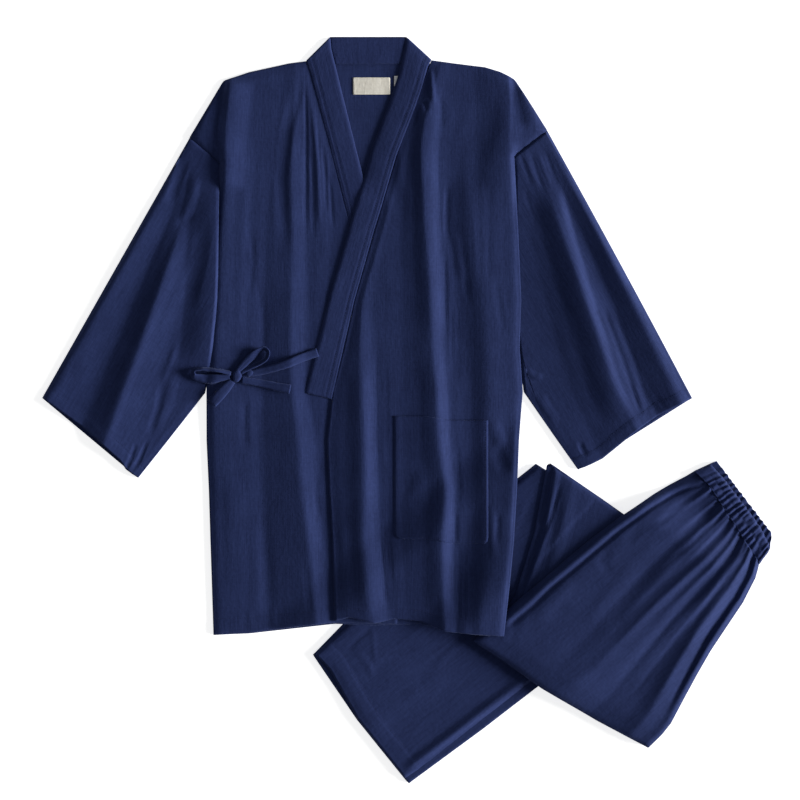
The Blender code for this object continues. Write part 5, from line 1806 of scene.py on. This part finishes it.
    def make_thigh(self) -> None:
        """The thighs, of which a corner shows between the jacket and the seat."""
        grain = Grain(-16)
        self.make_stack("thighs_inside", self.THIGHS_EDGES, (self.LEGS_CORNERS,), grain, 2.6, "left")
        lower = self.shown(self.THIGH_SHOWN_EDGES, (self.LEGS_CORNERS,), FINE, "left start right end", "left")
        shown = outside(self.SEAT_CORNERS, lower[..., 0], lower[..., 1]) > 4
        calm = ease(edge_distance(lower) / 12) * shown
        lower = uneven(lower, grain, LAID, self.THIGH_CREASES, share=0.8 * calm)
        piece = self.wardrobe.shell("thigh_shown_cloth", raised(lower, CLOTH), lower, grain, "double_gauze")
        Wardrobe.dress(piece, "thigh_shown")
        self.declare_stretch(piece, lower, ["thighs_inside"])

    def make_seat(self) -> None:
        """The seat, whose front is gathered into the waistband."""
        grain = Grain(-50)
        layers = (self.LEGS_CORNERS, self.THIGHS_CORNERS)
        self.make_stack("seat_inside", self.SEAT_EDGES, layers, grain, 3.2, "left end")
        lower = self.shown(self.SEAT_EDGES, layers, 2.3, "left right end", "left end")
        rows, cols = lower.shape[:2]
        u, v = np.linspace(0, 1, cols)[None, :], np.linspace(0, 1, rows)[:, None]
        for fold in self.GATHERS:
            crest = fold.at_waist + (fold.at_fold - fold.at_waist) * v
            past = (u - crest) / fold.half
            side = np.where(past > 0, 1.0, 1.35)
            bell = np.clip(1 - np.abs(past) / side, 0, 1)
            lower[..., 2] += 1.15 * fold.rise * bell**1.4 * ease((fold.reach - v) / (0.6 * fold.reach + 0.15))
        down = edge_distance(lower, "start")
        phase, depth = self.gathered(u, self.WAIST_SEEDS[0])
        pleats = (0.5 - 0.5 * np.cos(2 * math.pi * (phase + 0.004 * down))) * depth
        lower[..., 2] += 2.6 * pleats * np.exp(-down / (8 + 14 * depth))
        calm = ease(edge_distance(lower, "left right end") / 10)
        lower = uneven(lower, grain, LAID, self.SEAT_CREASES, share=calm)
        lower[..., 2] = smoothed(smoothed(lower[..., 2], 0.8, 1), 0.8, 0)
        upper = raised(lower, CLOTH)
        piece = self.wardrobe.shell("seat_shown_cloth", upper, lower, grain, "double_gauze")
        Wardrobe.dress(piece, "seat_shown")
        self.declare_stretch(piece, lower, ["seat_inside"])

    def gathered(self, u: np.ndarray, seed: int) -> tuple[np.ndarray, np.ndarray]:
        """The uneven gathers of the elastic: which one each place along the waist is in, and how deep it is.

        Args:
            u: Places along the waist, from 0 to 1.
            seed: Picks one set of gathers.

        Returns:
            The phase, which grows by one over each gather, and the depth, about 1.
        """
        random = np.random.default_rng(seed)
        steps = np.cumsum(random.uniform(0.55, 1.5, self.WAIST_PLEATS))
        knots = np.concatenate([[0], steps / steps[-1]])
        phase = np.interp(u, knots, np.arange(len(knots)))
        depth = np.interp(u, knots, random.uniform(0.35, 1.15, len(knots)))
        return phase, depth * ease((u - 0.02) / 0.14)

    def make_waistband(self) -> None:
        """The elastic band: two gathered layers joined at the sides, the back one standing past the front one."""
        per_pleat, levels = 13, 23
        cols = self.WAIST_PLEATS * per_pleat + 1
        u = np.linspace(0, 1, cols)
        first, second, behind = (self.gathered(u, seed) for seed in self.WAIST_SEEDS)
        edges = (self.WAIST_SEAM, self.WAIST_FRONT_TOP, self.WAIST_BACK_TOP)
        seam, front, back = (along(edge, cols) for edge in edges)
        uneven_band = Crinkle(3.0, 11.0, 0.30, 44)
        out = (seam[0] - seam[-1]) / np.linalg.norm(seam[0] - seam[-1])
        up = (front - seam).mean(0) / np.linalg.norm((front - seam).mean(0))
        place = u * float(np.linalg.norm(seam[0] - seam[-1]))
        rounded = 1 - 0.22 * np.clip((u - 0.95) / 0.05, 0, 1) ** 2
        rings = []
        for wall in (0.0, CLOTH):
            ring = []
            for level in np.linspace(0, 1, levels):
                mixed = float(ease(np.array((level - 0.35) / 0.3)))
                pinches = ((0.5, 0.05), (0.3, 0.5))
                pinch = 1 - sum(share * math.exp(-((level - at) / 0.07) ** 2) for share, at in pinches)
                waves = [(0.5 - 0.5 * np.cos(2 * math.pi * phase)) ** 0.8 * depth for phase, depth in (first, second)]
                wave = (waves[0] * (1 - mixed) + (0.35 * waves[0] + 0.75 * waves[1]) * mixed) * pinch
                wave = wave + uneven_band.on(place, np.full(cols, self.WAIST_WIDTH * level))
                below = (0.5 - 0.5 * np.cos(2 * math.pi * (0.8 * behind[0] + 0.3))) * behind[1]
                roll = 2.2 * max(0.0, (level - 0.84) / 0.16) ** 2
                reach = level * rounded[:, None]
                top = seam * (1 - reach) + front * reach + up * (0.9 * (wave - 0.5) * level)[:, None]
                bottom = seam * (1 - reach) + back * reach + up * (1.2 * (below - 0.5) * level)[:, None]
                crown = self.WAIST_HEIGHT - self.WAIST_DROP * level - wall - roll + 3.0 * wave
                crown = crown - 3.2 * (1 - np.sqrt(1 - (1 - np.clip(u / 0.07, 0, 1)) ** 2))
                base = 0 * below if not wall else 1.4 + 1.8 * below
                rounding = out * (self.WAIST_ROLL - wall)
                sides = [
                    np.append((top[end] + bottom[end]) / 2 + sign * rounding, self.WAIST_HEIGHT / 2)
                    for end, sign in ((0, 1), (-1, -1))
                ]
                ring.append(np.concatenate([
                    [sides[0]], np.column_stack([top, crown]), [sides[1]],
                    np.column_stack([bottom, base])[::-1],
                ]))
            rings.append(np.stack(ring))
        outer, inner = rings
        rows, around = outer.shape[:2]
        cloth = np.stack(np.broadcast_arrays(
            np.arange(around)[None, :] * 0.9, np.linspace(0, self.WAIST_WIDTH, rows)[:, None]), axis=-1)
        piece = self.wardrobe.tube("waistband_cloth", outer, inner, cloth, "elastic_band")
        Wardrobe.dress(piece, "waistband", "elastic_band")
        length, area = girth(outer)
        declare(piece, length, self.WAIST_WIDTH, area, "gathered", ["seat_inside"])


@dataclass(frozen=True)
class Studio:
    """The pale floor, the soft light from the right, and the camera straight above."""

    frame_width: float = 1.040
    camera_height: float = 4.0
    centre: tuple = (-0.01105, 0.013)
    sensor: float = 36.0
    sky: float = 0.19
    floor_glow: float = 0.75

    def build(self) -> None:
        """Makes the floor, the lights, the world and the camera."""
        self.make_floor()
        self.make_sun("key", (0.92, -0.06, 0.215), 7.3, 24.0, (1.0, 0.99, 0.97))
        world = bpy.data.worlds.new("studio")
        world.use_nodes = True
        background = world.node_tree.nodes["Background"]
        background.inputs["Color"].default_value = (0.95, 0.97, 1.0, 1.0)
        background.inputs["Strength"].default_value = self.sky
        bpy.context.scene.world = world
        bpy.context.scene.view_settings.view_transform = "Standard"
        data = bpy.data.cameras.new("camera")
        data.sensor_width = self.sensor
        data.lens = self.sensor * self.camera_height / self.frame_width
        camera = linked("camera", data)
        camera.location = (*self.centre, self.camera_height)
        bpy.context.scene.camera = camera

    def make_floor(self) -> None:
        """A wide pale floor just under the cloth."""
        half, low = 6.0, -0.0004
        mesh = bpy.data.meshes.new("floor")
        corners = [(-half, -half, low), (half, -half, low), (half, half, low), (-half, half, low)]
        mesh.from_pydata(corners, [], [(0, 1, 2, 3)])
        material = bpy.data.materials.new("pale floor")
        material.use_nodes = True
        shader = material.node_tree.nodes["Principled BSDF"]
        shader.inputs["Base Color"].default_value = (0.86, 0.86, 0.86, 1.0)
        shader.inputs["Roughness"].default_value = 0.9
        shader.inputs["Emission Color"].default_value = (1.0, 1.0, 1.0, 1.0)
        shader.inputs["Emission Strength"].default_value = self.floor_glow
        mesh.materials.append(material)
        linked("floor", mesh)

    @staticmethod
    def make_sun(name: str, towards: tuple, strength: float, spread: float, colour: tuple) -> None:
        """A soft far light.

        Args:
            name: The light's name.
            towards: The way from the set to the light.
            strength: Its strength, in watts a square metre.
            spread: How wide it looks, in degrees.
            colour: Its colour.
        """
        data = bpy.data.lights.new(name, "SUN")
        data.angle = math.radians(spread)
        data.energy = strength
        data.color = colour
        light = linked(name, data)
        light.rotation_mode = "QUATERNION"
        light.rotation_quaternion = Vector(towards).to_track_quat("Z", "Y")


def make_finishes() -> dict[str, bpy.types.Material]:
    """All the finishes of the set, by name."""
    weave = weave_group()
    cottons = (
        Cotton("double_gauze", (0.0120, 0.0205, 0.0780), (0.0215, 0.0350, 0.1200)),
        Cotton("neck_band", (0.0125, 0.0210, 0.0800), (0.0220, 0.0355, 0.1220), relief=0.24),
        Cotton("elastic_band", (0.0120, 0.0205, 0.0780), (0.0210, 0.0340, 0.1190), relief=0.20),
        Cotton("label_tape", (0.74, 0.70, 0.61), (0.88, 0.85, 0.77), relief=0.2, sheen=0.0),
        Cotton("satin_tape", (0.78, 0.78, 0.78), (0.90, 0.90, 0.90), relief=0.1, roughness=0.5, sheen=0.0),
        Cotton("thread", (0.0080, 0.0120, 0.0460), (0.0160, 0.0250, 0.0850), relief=0.1, roughness=0.6),
    )
    return {cotton.name: cotton.material(weave) for cotton in cottons}


def main() -> None:
    """Builds the studio, the trousers and the jacket."""
    Studio().build()
    wardrobe = Wardrobe(make_finishes(), [])
    Trousers(wardrobe).build()
    Jacket(wardrobe).build()
    LOG.info("%d pieces of cloth and tape", len(wardrobe.made))


if __name__ == "__main__":
    logging.basicConfig(level=logging.INFO, format="%(name)s: %(message)s")
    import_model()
    main()
